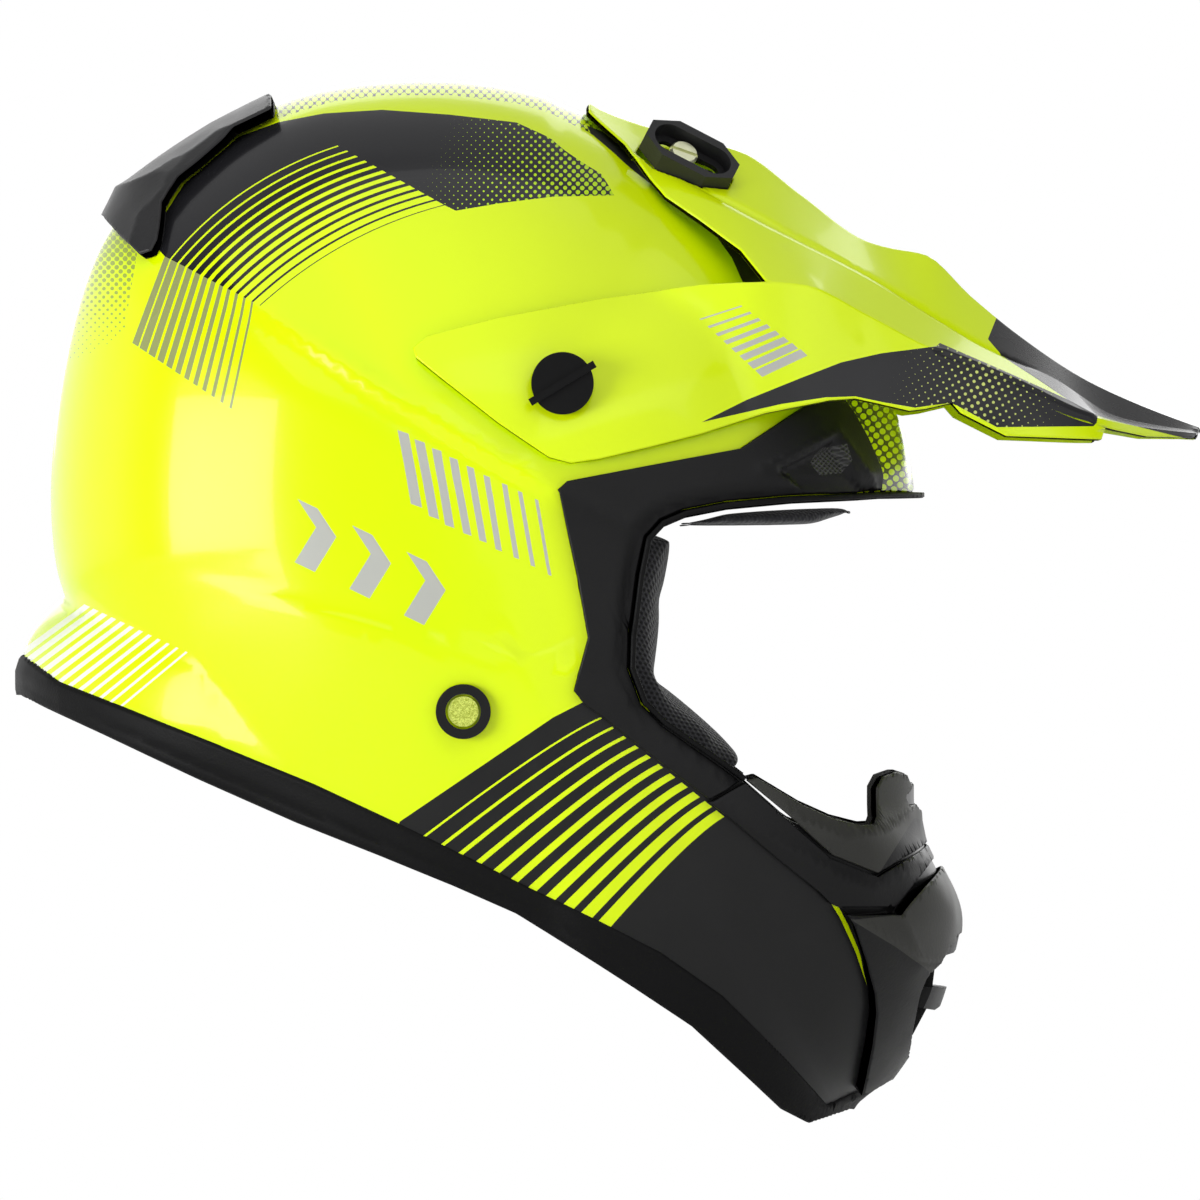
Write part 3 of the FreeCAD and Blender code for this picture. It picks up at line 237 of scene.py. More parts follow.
def ramp_xz(nt, p0, p1, clamp=True):
    """0 at p0, 1 at p1 along the line between them in the X-Z plane (mm)."""
    o = xyz(nt, coords(nt))
    dx, dz = (p1[0] - p0[0]) * MM, (p1[1] - p0[1]) * MM
    l2 = dx * dx + dz * dz
    t = M(nt, "ADD", M(nt, "MULTIPLY", M(nt, "SUBTRACT", o[0], p0[0] * MM), dx / l2), M(nt, "MULTIPLY", M(nt, "SUBTRACT", o[2], p0[1] * MM), dz / l2), clamp=clamp)
    return t


def print_mat(name, ground, ink, make_mask, rough=0.18, coat=0.28, emit=0.0):
    """Printed film under the clear coat: ink laid on a ground where the mask is 1."""
    m, nt, b = new_mat(name)
    v = coords(nt)
    g = mixc(nt, noise(nt, v, 14.0), tuple(c * 0.94 for c in ground[:3]) + (1.0,), ground)
    k = make_mask(nt)
    put(nt, b.inputs["Base Color"], mixc(nt, k, g, ink))
    nt.links.new(M(nt, "MULTIPLY_ADD", noise(nt, v, 45.0), 0.06, rough), b.inputs["Roughness"])
    b.inputs["Coat Weight"].default_value = coat
    b.inputs["Coat Roughness"].default_value = 0.05
    b.inputs["Specular IOR Level"].default_value = 0.25
    bump(nt, b, noise(nt, v, 420.0, 2.0), 0.012, 0.002)
    return m


INK = (0.014, 0.014, 0.016, 1.0)
GREY = (0.50, 0.51, 0.47, 1.0)
P_ = [(-15.0, 130.5), (35.7, 107.8), (145.9, 56.3), (201.9, 32.5), (-134.0, 92.0), (-137.5, 60.5), (26.9, 141.0), (-67.5, 144.5), (121.4, 37.8), (150.1, 15.0)]

mat_yellow = gloss("yellow_gloss", YEL, emit=0.0)
mat_crown = print_mat("crown_print", INK, YEL_DEEP, lambda nt: dot_mask(nt, 0.0021, 0.78, M(nt, "MULTIPLY", ramp_xz(nt, P_[0], P_[1]), 0.40)))
mat_mesh_print = print_mat("mesh_print", YEL, INK, lambda nt: M(nt, "SUBTRACT", 1.0, dot_mask(nt, 0.0021, 0.78, 0.47)))
mat_rear_print = print_mat("rear_print", YEL, (0.35, 0.45, 0.05, 1.0), lambda nt: dot_mask(nt, 0.0021, 0.78, M(nt, "SUBTRACT", 0.46, M(nt, "MULTIPLY", ramp_xz(nt, P_[4], P_[5]), 0.34))))
mat_brow_print = print_mat("brow_print", YEL, INK, lambda nt: M(nt, "SUBTRACT", 1.0, dot_mask(nt, 0.0027, 0.60, 0.40)))
mat_grey = gloss("grey_print", GREY, rough=0.3, coat=0.4)
mat_white = gloss("white_print", (0.93, 0.97, 0.80, 1.0), rough=0.2)
mat_olive = gloss("olive_print", (0.30, 0.33, 0.12, 1.0), rough=0.25)
mat_satin = matte("satin_black", (0.009, 0.009, 0.0095, 1.0), rough=0.34, grain=700.0, depth=0.03, spec=0.30)
mat_ink = gloss("ink_black", (0.012, 0.012, 0.013, 1.0), rough=0.24)
mat_visor_print = print_mat("visor_print", (0.022, 0.022, 0.024, 1.0), (0.60, 0.68, 0.18, 1.0),
                            lambda nt: dot_mask(nt, 0.0024, 0.50, M(nt, "MULTIPLY", M(nt, "SUBTRACT", 1.0, M(nt, "ABSOLUTE", M(nt, "MULTIPLY_ADD", ramp_xz(nt, P_[2], P_[3]), 2.0, -1.0))), 0.26)), rough=0.34, coat=0.1)
mat_trim = matte("trim_black", (0.0065, 0.0065, 0.007, 1.0), rough=0.42, spec=0.24)
mat_spoiler = matte("spoiler_black", (0.018, 0.018, 0.019, 1.0), rough=0.44, grain=800.0, spec=0.35)
mat_rubber = matte("rubber_black", (0.0035, 0.0035, 0.0038, 1.0), rough=0.52, grain=1200.0, depth=0.2, spec=0.14)
mat_knob = matte("knob_black", (0.003, 0.003, 0.0033, 1.0), rough=0.36, grain=1500.0, depth=0.05, spec=0.18)
# painted light: a lighter black that stands for the lit upper faces of the nose guard and the mouth vent frame
mat_trim_painted_light = matte("trim_painted_light", (0.034, 0.034, 0.030, 1.0), rough=0.46, spec=0.35)
# dark material for the shell's inner faces, also laid on the shell as a painted shadow strip along the visor's rear
# edge
mat_inner_and_painted_shade = matte("inner_and_painted_shade", (0.010, 0.010, 0.010, 1.0), rough=0.7)


def metal(name, colour, rough):
    m, nt, b = new_mat(name)
    v = coords(nt)
    put(nt, b.inputs["Base Color"], mixc(nt, noise(nt, v, 160.0), tuple(c * 0.85 for c in colour[:3]) + (1.0,), colour))
    b.inputs["Metallic"].default_value = 1.0
    nt.links.new(M(nt, "MULTIPLY_ADD", noise(nt, v, 300.0, 4.0), 0.22, rough), b.inputs["Roughness"])
    bump(nt, b, noise(nt, v, 1500.0, 2.0), 0.08, 0.0003)
    return m


mat_steel = metal("steel", (0.62, 0.62, 0.63, 1.0), 0.25)
mat_bright = metal("screw_bright", (0.88, 0.90, 0.62, 1.0), 0.24)


def speckle(name):
    """Sparkling painted cap."""
    m, nt, b = new_mat(name)
    v = coords(nt)
    vo = N(nt, "ShaderNodeTexVoronoi")
    vo.inputs["Scale"].default_value = 2600.0
    nt.links.new(v, vo.inputs["Vector"])
    s = xyz(nt, vo.outputs["Color"])
    put(nt, b.inputs["Base Color"], mixc(nt, s[0], (0.38, 0.46, 0.02, 1), (0.82, 0.92, 0.20, 1)))
    b.inputs["Metallic"].default_value = 0.35
    b.inputs["Roughness"].default_value = 0.35
    bump(nt, b, s[1], 0.25, 0.0004)
    return m


mat_speckle = speckle("cap_sparkle")


def fabric(name, colour, cell=0.0021, depth=0.7, hole=True):
    """Spacer mesh: staggered round openings in a fuzzy knit, worked from the object's own coordinates."""
    m, nt, b = new_mat(name)
    v = coords(nt)
    o = xyz(nt, v)
    a = M(nt, "DIVIDE", M(nt, "ADD", o[0], M(nt, "MULTIPLY", o[1], 0.35)), cell)
    c = M(nt, "DIVIDE", M(nt, "ADD", o[2], M(nt, "MULTIPLY", o[1], 0.55)), cell * 0.8)
    row = M(nt, "FLOOR", c)
    a2 = M(nt, "ADD", a, M(nt, "MULTIPLY", M(nt, "FRACT", M(nt, "MULTIPLY", row, 0.5)), 1.0))
    fa = M(nt, "SUBTRACT", M(nt, "FRACT", a2), 0.5)
    fc = M(nt, "SUBTRACT", M(nt, "FRACT", c), 0.5)
    r = M(nt, "SQRT", M(nt, "ADD", M(nt, "MULTIPLY", fa, fa), M(nt, "MULTIPLY", fc, fc)))
    k = M(nt, "SUBTRACT", M(nt, "MULTIPLY", r, 2.6), 0.35, clamp=True)
    fz = noise(nt, v, 2500.0, 3.0)
    base = mixc(nt, fz, tuple(x * 0.6 for x in colour[:3]) + (1.0,), tuple(x * 1.5 for x in colour[:3]) + (1.0,))
    put(nt, b.inputs["Base Color"], mixc(nt, k, (0.004, 0.004, 0.004, 1), base) if hole else base)
    b.inputs["Roughness"].default_value = 0.9
    b.inputs["Sheen Weight"].default_value = 0.35
    b.inputs["Sheen Roughness"].default_value = 0.5
    b.inputs["Specular IOR Level"].default_value = 0.2
    h = M(nt, "ADD", M(nt, "MULTIPLY", k, 1.0), M(nt, "MULTIPLY", fz, 0.35))
    bump(nt, b, h, depth, 0.0006)
    return m


mat_fabric = fabric("pad_mesh_fabric", (0.030, 0.030, 0.034, 1.0))
mat_brushed = fabric("pad_brushed_fabric", (0.024, 0.024, 0.028, 1.0), depth=0.35, hole=False)


def webbing(name):
    m, nt, b = new_mat(name)
    uv = nt.nodes.new("ShaderNodeUVMap"); uv.uv_map = "weave"
    o = xyz(nt, uv.outputs[0])
    a = M(nt, "MULTIPLY", o[0], 1.0)
    c = M(nt, "MULTIPLY", o[1], 1.0)
    s1 = M(nt, "SINE", M(nt, "MULTIPLY", M(nt, "ADD", a, c), 6.2832))
    s2 = M(nt, "SINE", M(nt, "MULTIPLY", M(nt, "SUBTRACT", a, c), 6.2832))
    k = M(nt, "MULTIPLY_ADD", M(nt, "MULTIPLY", s1, s2), 0.5, 0.5)
    put(nt, b.inputs["Base Color"], mixc(nt, k, (0.006, 0.006, 0.007, 1), (0.036, 0.036, 0.039, 1)))
    b.inputs["Roughness"].default_value = 0.75
    b.inputs["Sheen Weight"].default_value = 0.2
    bump(nt, b, k, 0.6, 0.0004)
    return m


mat_web = webbing("strap_webbing")


def eps(name):
    """Expanded bead foam: packed cells with dark seams."""
    m, nt, b = new_mat(name)
    v = coords(nt)
    vo = N(nt, "ShaderNodeTexVoronoi", feature="DISTANCE_TO_EDGE")
    vo.inputs["Scale"].default_value = 330.0
    nt.links.new(v, vo.inputs["Vector"])
    k = M(nt, "MULTIPLY", vo.outputs["Distance"], 6.0, clamp=True)
    put(nt, b.inputs["Base Color"], mixc(nt, k, (0.010, 0.010, 0.011, 1), (0.040, 0.040, 0.043, 1)))
    b.inputs["Roughness"].default_value = 0.7
    bump(nt, b, k, 0.5, 0.0006)
    return m


mat_eps = eps("bead_foam")


def screen(name):
    """Woven wire screen: two sets of crossing strands."""
    m, nt, b = new_mat(name)
    o = xyz(nt, coords(nt))
    p = 2 * math.pi / 0.0017
    s1 = M(nt, "ABSOLUTE", M(nt, "SINE", M(nt, "MULTIPLY", M(nt, "ADD", o[1], o[2]), p / 2)))
    s2 = M(nt, "ABSOLUTE", M(nt, "SINE", M(nt, "MULTIPLY", M(nt, "SUBTRACT", o[1], o[2]), p / 2)))
    k = M(nt, "MULTIPLY", M(nt, "SUBTRACT", 1.0, M(nt, "MULTIPLY", s1, s2)), 1.0)
    put(nt, b.inputs["Base Color"], mixc(nt, M(nt, "POWER", k, 2.0), (0.003, 0.003, 0.003, 1), (0.06, 0.06, 0.06, 1)))
    b.inputs["Roughness"].default_value = 0.5
    bump(nt, b, k, 0.8, 0.0005)
    return m


mat_screen = screen("woven_screen")
m, nt, b = new_mat("floor_pale")
v = coords(nt)
put(nt, b.inputs["Base Color"], mixc(nt, noise(nt, v, 3.0), (0.80, 0.80, 0.80, 1), (0.84, 0.84, 0.84, 1)))
b.inputs["Roughness"].default_value = 0.7
floor.materials.append(m)

# =============================================================== the body form, as in the CAD
W = 123.0


def pchip(xs, ys):
    xs, ys = np.array(xs, float), np.array(ys, float)
    h = np.diff(xs)
    d = np.diff(ys) / h
    mm = np.zeros_like(ys)
    for i in range(1, len(xs) - 1):
        if d[i - 1] * d[i] > 0:
            w1, w2 = 2 * h[i] + h[i - 1], h[i] + 2 * h[i - 1]
            mm[i] = (w1 + w2) / (w1 / d[i - 1] + w2 / d[i])
    mm[0], mm[-1] = d[0], d[-1]

    def f(x):
        x = np.asarray(x, float)
        k = np.clip(np.searchsorted(xs, x) - 1, 0, len(xs) - 2)
        s = np.clip((x - xs[k]) / h[k], 0, 1)
        return ((2 * s ** 3 - 3 * s ** 2 + 1) * ys[k] + (s ** 3 - 2 * s ** 2 + s) * h[k] * mm[k]
                + (-2 * s ** 3 + 3 * s ** 2) * ys[k + 1] + (s ** 3 - s ** 2) * h[k] * mm[k + 1])
    return f


SILHOUETTE = [(-145.9, -30.4), (-141.8, -44.4), (-135.4, -65.5), (-125.6, -89.9), (-111.3, -117.9), (-90.3, -145.9), (-60.5, -177.4), (-29.0, -200.2), (5.9, -214.2), (37.4, -226.4), (61.9, -245.7), (89.9, -245.7), (110.9, -233.4), (123.2, -219.4), (128.4, -206.5), (136.1, -200.2), (147.0, -186.2), (154.7, -173.2), (159.2, -160.6), (162.0, -148.8), (163.4, -137.2), (161.0, -128.4), (154.7, -117.9), (151.5, -109.2), (150.8, -93.4), (150.1, -65.5), (150.1, -30.4), (150.5, -9.4), (150.8, 8.0), (147.7, 25.5), (140.7, 43.8), (128.4, 64.0), (110.9, 85.8), (93.4, 103.9), (75.9, 117.9), (58.4, 128.4), (47.9, 134.8), (40.9, 138.4), (33.9, 141.6), (26.9, 144.2), (5.9, 149.4), (-15.0, 151.5), (-29.0, 151.2), (-50.0, 149.1), (-64.0, 146.3), (-71.0, 143.8), (-79.8, 139.3), (-90.3, 133.7), (-106.0, 124.2), (-120.0, 113.0), (-129.8, 101.8), (-136.8, 87.8), (-143.1, 67.5), (-147.7, 44.8), (-150.1, 25.5), (-151.2, 4.5), (-150.5, -9.4), (-148.8, -21.0)]
pol = sorted((math.degrees(math.atan2(z, x)) % 360.0, math.hypot(x, z)) for x, z in SILHOUETTE)
pol = [(a - 360, r) for a, r in pol[-3:]] + pol + [(a + 360, r) for a, r in pol[:3]]
_R = pchip([a for a, r in pol], [r for a, r in pol])
_tab = _R(np.arange(0, 3600) / 10.0)


def _smooth(tab, sig):
    n = int(sig * 30)
    k = np.exp(-0.5 * (np.arange(-n, n + 1) / (sig * 10.0)) ** 2)
    k /= k.sum()
    return np.convolve(np.concatenate([tab[-n:], tab, tab[:n]]), k, "valid")


_soft, _fine = _smooth(_tab, 2.4), _smooth(_tab, 0.7)
_a = np.arange(0, 3600) / 10.0
_w = np.clip((_a - 55) / 15, 0, 1) * np.clip((178 - _a) / 15, 0, 1)
R_TAB = _fine * (1 - _w) + _soft * _w
R_TAB = np.append(R_TAB, R_TAB[0])


def R_of(th):
    t = (np.degrees(th) % 360.0) * 10.0
    i = np.floor(t).astype(int) % 3600
    f = t - np.floor(t)
    return R_TAB[i] * (1 - f) + R_TAB[i + 1] * f


def power(th):
    t = np.abs((np.degrees(th) - 90.0 + 180.0) % 360.0 - 180.0)
    s = np.clip((t - 30.0) / 30.0, 0, 1)
    return 2.0 + 0.4 * s * s * (3 - 2 * s)


# neck flare: extra radius below a crease that starts at the nape and runs down and forward round the side
F_PHI = [0, 30, 34, 38, 44, 55, 70, 90, 180]
F_AT = [262, 262, 250, 234, 207, 200.5, 194.5, 191.4, 191.4]
F_SLOPE = [0, 0, 0.25, 0.55, 1.25, 2.2, 3.6, 5.2, 5.2]
F_CAP = [0, 0, 1.2, 3.0, 8.0, 14.0, 21.5, 28.0, 28.0]


def flare(th, phi):
    t = np.degrees(th) % 360.0
    p = np.degrees(phi)
    p = np.where(p > 90, 180 - p, p)
    at, sl, cap = np.interp(p, F_PHI, F_AT), np.interp(p, F_PHI, F_SLOPE), np.interp(p, F_PHI, F_CAP)
    x = np.clip(t - at, 0, 400) * sl
    f = cap * (1 - np.exp(-np.clip(x / np.maximum(cap, 1e-6), 0, 30) * 1.15)) * (cap > 1e-6)
    fade = np.clip((236 - t) / 22.0, 0, 1)
    ok = (t > 185) & (t < 240)
    return np.where(ok, f * fade * fade * (3 - 2 * fade), 0.0)


def base_xyz(u, v, d=0.0):
    """Point of body(d) from disk coordinates: distance from the side's centre as an angle, 90 degrees at the centre plane."""
    phi, th = np.hypot(u, v), np.arctan2(v, u)
    p = power(th)
    s, c = np.sin(phi), np.cos(phi)
    rho = (R_of(th) + flare(th, phi) + d) * np.abs(s) ** (2 / p)
    y = (W + d) * np.sign(c) * np.abs(c) ** (2 / p)
    return np.stack([rho * np.cos(th), -y, rho * np.sin(th)], -1)


def to_uv(x, z):
    """Disk coordinates of (x, z) mm on the side view; points past the silhouette go past 90 degrees."""
    x, z = np.asarray(x, float), np.asarray(z, float)
    th, r = np.arctan2(z, x), np.hypot(x, z)
    p = power(th)
    lo, hi = np.zeros_like(r), np.full_like(r, math.pi / 2)
    for _ in range(34):
        mid = (lo + hi) / 2
        rr = (R_of(th) + flare(th, mid)) * np.sin(mid) ** (2 / p)
        lo, hi = np.where(rr < r, mid, lo), np.where(rr < r, hi, mid)
    phi = (lo + hi) / 2
    top = R_of(th) + flare(th, np.full_like(r, math.pi / 2))
    over = r / top - 1
    phi = np.where(over > 0, math.pi / 2 + np.sqrt(2 * np.maximum(over, 0) / p * 2), phi)
    return np.stack([phi * np.cos(th), phi * np.sin(th)], -1)


def half(x, z, d=0.0):
    th, r = np.arctan2(z, x), np.hypot(x, z)
    q = np.clip(r / (R_of(th) + d), 0, 1)
    p = power(th)
    return (W + d) * np.clip(1 - q ** p, 0, 1) ** (1 / p)


def seg_dist(px, pz, line):
    """Unsigned distance (mm, in the X-Z plane) to a polyline and the sign of the side: + on the left of its direction."""
    best = np.full(np.shape(px), 1e9)
    side = np.zeros(np.shape(px))
    along = np.zeros(np.shape(px))
    total = 0.0
    for (ax, az), (bx, bz) in zip(line, line[1:]):
        dx, dz = bx - ax, bz - az
        l = math.hypot(dx, dz)
        t = np.clip(((px - ax) * dx + (pz - az) * dz) / (l * l), 0, 1)
        ex, ez = px - (ax + t * dx), pz - (az + t * dz)
        e = np.hypot(ex, ez)
        s = np.sign(dx * (pz - az) - dz * (px - ax))
        m_ = e < best
        best = np.where(m_, e, best)
        side = np.where(m_, s, side)
        along = np.where(m_, total + t * l, along)
        total += l
    return best, side, along


def sstep(x, a, b):
    t = np.clip((x - a) / (b - a), 0, 1)
    return t * t * (3 - 2 * t)


def flat_disp(x, z):
    return np.zeros(np.shape(x))


class BodySurf:
    """Skin of the body form at depth d, with a displacement given on the side view."""
    seam = math.pi / 2
    step = math.radians(1.25)

    def __init__(self, d=0.0, disp=flat_disp):
        self.d, self.disp = d, disp

    def uv(self, pts):
        a = np.array(pts, float)
        return to_uv(a[:, 0], a[:, 1])

    def raw(self, u, v):
        return base_xyz(u, v, self.d)

    def _n(self, f, u, v, e):
        a = f(u + e, v) - f(u - e, v)
        c = f(u, v + e) - f(u, v - e)
        n = np.cross(c, a)
        n /= np.maximum(np.linalg.norm(n, axis=-1, keepdims=True), 1e-12)
        return n

    def full(self, u, v):
        p = self.raw(u, v)
        n = self._n(self.raw, u, v, 0.004)
        flip = np.where((n * p).sum(-1) < 0, -1.0, 1.0)
        n = n * flip[..., None]
        return p + n * self.disp(p[..., 0], p[..., 2])[..., None]

    def point(self, u, v):
        p = self.full(u, v)
        n = self._n(self.full, u, v, 0.006)
        flip = np.where((n * p).sum(-1) < 0, -1.0, 1.0)
        n = n * flip[..., None]
        on = np.abs(np.hypot(u, v) - self.seam) < 1e-6
        n[on, 1] = 0.0
        p[on, 1] = 0.0
        n /= np.maximum(np.linalg.norm(n, axis=-1, keepdims=True), 1e-12)
        return p, n

    def seam_points(self):
        n = 288
        return [(self.seam * math.cos(2 * math.pi * k / n), self.seam * math.sin(2 * math.pi * k / n)) for k in range(n)]

    def inside(self, c):
        return np.hypot(c[:, 0], c[:, 1]) < self.seam * 0.99999

    def box(self):
        return (-self.seam, -self.seam, self.seam, self.seam)


def in_poly(c, poly):
    x, y = c[:, 0], c[:, 1]
    r = np.zeros(len(c), bool)
    px, py = poly[:, 0], poly[:, 1]
    j = len(poly) - 1
    for i in range(len(poly)):
        hit = ((py[i] > y) != (py[j] > y)) & (x < (px[j] - px[i]) * (y - py[i]) / (py[j] - py[i] + 1e-30) + px[i])
        r ^= hit
        j = i
    return r


def dense(line, step, closed):
    pts = list(line) + ([line[0]] if closed else [])
    out = []
    for (ax, az), (bx, bz) in zip(pts, pts[1:]):
        n = max(1, int(math.ceil(math.hypot(bx - ax, bz - az) / step)))
        out += [(ax + (bx - ax) * k / n, az + (bz - az) * k / n) for k in range(n)]
    if not closed:
        out.append(pts[-1])
    return out


def skin(name, surf, include, exclude=(), regions=(), creases=(), mats=None, thick=2.0, bevel=0.8, both=True, spacing=None, side=None, step=1.4, inner_mat=None, smooth_edges=True, tilt=None):
    """Closed moulding on a surface: outline(s) given on the side view, cut as a constrained triangulation, given thickness, a rounded edge and
    crisp colour boundaries. regions are (outline, material index), later ones on top; with both, it is mirrored across the centre plane."""
    sp = spacing or surf.step
    V2, E2 = [], []

    def add_line(uvs, closed):
        i0 = len(V2)
        V2.extend([tuple(p) for p in uvs])
        n = len(uvs)
        for k in range(n if closed else n - 1):
            E2.append((i0 + k, i0 + (k + 1) % n))

    def flat(p, closed):
        return p if isinstance(p, np.ndarray) else surf.uv(dense(p, step, closed))

    inc = [flat(p, True) for p in include]
    exc = [flat(p, True) for p in exclude]
    reg = [(flat(p, True), k) for p, k in regions]
    for p in inc + exc:
        add_line(p, True)
    for p, k in reg:
        add_line(p, True)
    for p in creases:
        add_line(flat(p, False), False)
    seam = surf.seam_points()
    i0 = len(V2)
    V2.extend(seam)
    n = len(seam)
    ring = 1 if isinstance(surf, BodySurf) else 0
    for k in range(n if ring else n - 1):
        E2.append((i0 + k, i0 + (k + 1) % n))
    # rows just inside the edge, for the rounding
    if bevel > 0:
        for p in inc + exc:
            q = np.array(p)
            t = np.roll(q, -1, 0) - np.roll(q, 1, 0)
            P0 = surf.full(q[:, 0], q[:, 1])
            e = 1e-3
            Ju = (surf.full(q[:, 0] + e, q[:, 1]) - P0) / e
            Jv = (surf.full(q[:, 0], q[:, 1] + e) - P0) / e
            g11, g12, g22 = (Ju * Ju).sum(-1), (Ju * Jv).sum(-1), (Jv * Jv).sum(-1)
            gt = np.stack([g11 * t[:, 0] + g12 * t[:, 1], g12 * t[:, 0] + g22 * t[:, 1]], -1)
            nn = np.stack([-gt[:, 1], gt[:, 0]], -1)
            ln = np.sqrt(np.maximum(g11 * nn[:, 0] ** 2 + 2 * g12 * nn[:, 0] * nn[:, 1] + g22 * nn[:, 1] ** 2, 1e-12))
            nn = nn / ln[:, None]
            for sgn in (-1, 1):
                for dd in (0.3, 1.0):
                    V2.extend([tuple(w_) for w_ in q + nn * (sgn * dd * bevel)])
    # filling grid
    lo_u, lo_v, hi_u, hi_v = surf.box()
    lim = np.concatenate(inc)
    lo_u, lo_v = max(lo_u, lim[:, 0].min()), max(lo_v, lim[:, 1].min())
    hi_u, hi_v = min(hi_u, lim[:, 0].max()), min(hi_v, lim[:, 1].max())
    kd = KDTree(len(V2))
    for i, p in enumerate(V2):
        kd.insert((p[0], p[1], 0), i)
    kd.balance()
    su, sv = (sp, sp * 0.866) if np.isscalar(sp) else (sp[0], sp[1])
    grid = []
    r = 0
    vv = lo_v
    while vv < hi_v:
        uu_ = lo_u + (su / 2 if r % 2 else 0)
        while uu_ < hi_u:
            grid.append((uu_, vv))
            uu_ += su
        vv += sv
        r += 1
    grid = np.array(grid)
    keep = np.zeros(len(grid), bool)
    for p in inc:
        keep |= in_poly(grid, p)
    keep &= surf.inside(grid)
    for g in grid[keep]:
        if kd.find((g[0], g[1], 0))[2] > min(su, sv) * 0.45:
            V2.append((float(g[0]), float(g[1])))
    res = delaunay_2d_cdt([Vector(p) for p in V2], E2, [], 0, 1e-7)
    pv = np.array([tuple(p) for p in res[0]])
    tri = np.array([list(f) for f in res[2] if len(f) == 3])
    cen = pv[tri].mean(1)
    ok = np.zeros(len(tri), bool)
    for p in inc:
        ok |= in_poly(cen, p)
    for p in exc:
        ok &= ~in_poly(cen, p)
    ok &= surf.inside(cen)
    tri, cen = tri[ok], cen[ok]
    mat = np.zeros(len(tri), int)
    for p, k in reg:
        mat[in_poly(cen, p)] = k
    used = np.unique(tri)
    remap = -np.ones(len(pv), int)
    remap[used] = np.arange(len(used))
    tri, pv = remap[tri], pv[used]
    P, Nn = surf.point(pv[:, 0], pv[:, 1])
    # orient faces outward
    fn = np.cross(P[tri[:, 1]] - P[tri[:, 0]], P[tri[:, 2]] - P[tri[:, 0]])
    if ((fn * Nn[tri].mean(1)).sum(-1) < 0).mean() > 0.5:
        tri = tri[:, ::-1].copy()
    onseam = surf.on_seam(pv) if hasattr(surf, "on_seam") else np.abs(np.hypot(pv[:, 0], pv[:, 1]) - surf.seam) < 1e-5
    onseam = onseam | (np.abs(P[:, 1]) < 0.15)
    P[onseam, 1] = 0.0
    Nn = Nn.copy()
    Nn[onseam, 1] = 0.0
    Nn /= np.maximum(np.linalg.norm(Nn, axis=1), 1e-9)[:, None]
    flat_ = onseam[tri].all(1)
    tri, mat = tri[~flat_], mat[~flat_]
    # open edges
    cnt = {}
    for f in tri:
        for a, b_ in ((f[0], f[1]), (f[1], f[2]), (f[2], f[0])):
            cnt[(a, b_)] = cnt.get((a, b_), 0) + 1
    border = [(a, b_) for (a, b_) in cnt if (b_, a) not in cnt and cnt[(a, b_)] == 1]
    border = [(a, b_) for a, b_ in border if not (both and onseam[a] and onseam[b_])]
    # rounding by distance to the edge
    drop = np.zeros(len(P))
    if bevel > 0 and border:
        bi = np.unique(np.array(border))
        kb = KDTree(len(bi))
        for i, j in enumerate(bi):
            kb.insert(P[j], i)
        kb.balance()
        dist = np.array([kb.find(p)[2] for p in P])
        dist[bi] = 0.0
        # true distance to the edge line, and the direction out over it
        links = {}
        for a, b_ in border:
            links.setdefault(a, []).append((a, b_))
            links.setdefault(b_, []).append((a, b_))
        ea = np.array([[e[0] for e in (links[j] * 2)[:2]] for j in bi])
        eb = np.array([[e[1] for e in (links[j] * 2)[:2]] for j in bi])
        near = np.where(dist < bevel + 1.6)[0]
        kn = min(3, len(bi))
        pick = np.array([[h_[1] for h_ in kb.find_n(P[j], kn)] for j in near])
        A_, B_ = P[ea[pick]].reshape(len(near), -1, 3), P[eb[pick]].reshape(len(near), -1, 3)
        ab = B_ - A_
        tt = np.clip(((P[near][:, None] - A_) * ab).sum(-1) / np.maximum((ab * ab).sum(-1), 1e-9), 0, 1)
        foot = A_ + ab * tt[..., None]
        dn = np.linalg.norm(P[near][:, None] - foot, axis=-1)
        best = dn.argmin(1)
        rng = np.arange(len(near))
        dist[near] = dn[rng, best]
        dist[bi] = 0.0
        outd = np.zeros_like(P)
        outd[near] = foot[rng, best] - P[near]
        acc = np.zeros_like(P)
        for a, b_ in border:
            e_ = P[b_] - P[a]
            c_ = np.cross(e_, Nn[a] + Nn[b_])
            c_ = c_ / max(np.linalg.norm(c_), 1e-9)
            acc[a] += c_
            acc[b_] += c_
        outd[bi] = acc[bi]
        outd -= Nn * (outd * Nn).sum(-1)[:, None]
        outd /= np.maximum(np.linalg.norm(outd, axis=1), 1e-9)[:, None]
        q = np.clip(dist, 0, bevel)
        drop = bevel - np.sqrt(np.maximum(bevel * bevel - (bevel - q) ** 2, 0))
        edge_dir = {}
        for a, b_ in border:
            for k_ in (a, b_):
                edge_dir.setdefault(k_, []).append(P[b_] - P[a])
    Nr = Nn.copy()
    if tilt is not None:
        Nr = Nr + tilt(P)
        Nr /= np.linalg.norm(Nr, axis=1)[:, None]
    if bevel > 0 and border:
        sn = np.clip((bevel - dist) / bevel, 0, 0.96)[:, None]
        Nr = Nr * np.sqrt(1 - sn * sn) + outd * sn
        Nr /= np.maximum(np.linalg.norm(Nr, axis=1), 1e-9)[:, None]
    outer = P - Nn * drop[:, None]
    tk = thick(pv) if callable(thick) else np.full(len(P), float(thick))
    inner = P - Nn * np.maximum(tk, drop + 0.2)[:, None]
    inner[onseam, 1] = 0.0
    nv = len(P)
    verts = np.concatenate([outer, inner])
    faces = [tuple(f) for f in tri] + [tuple(int(i) + nv for i in f[::-1]) for f in tri]
    mi = list(mat) + [(inner_mat if inner_mat is not None else k) for k in mat]
    bmat = {}
    for f, k in zip(tri, mat):
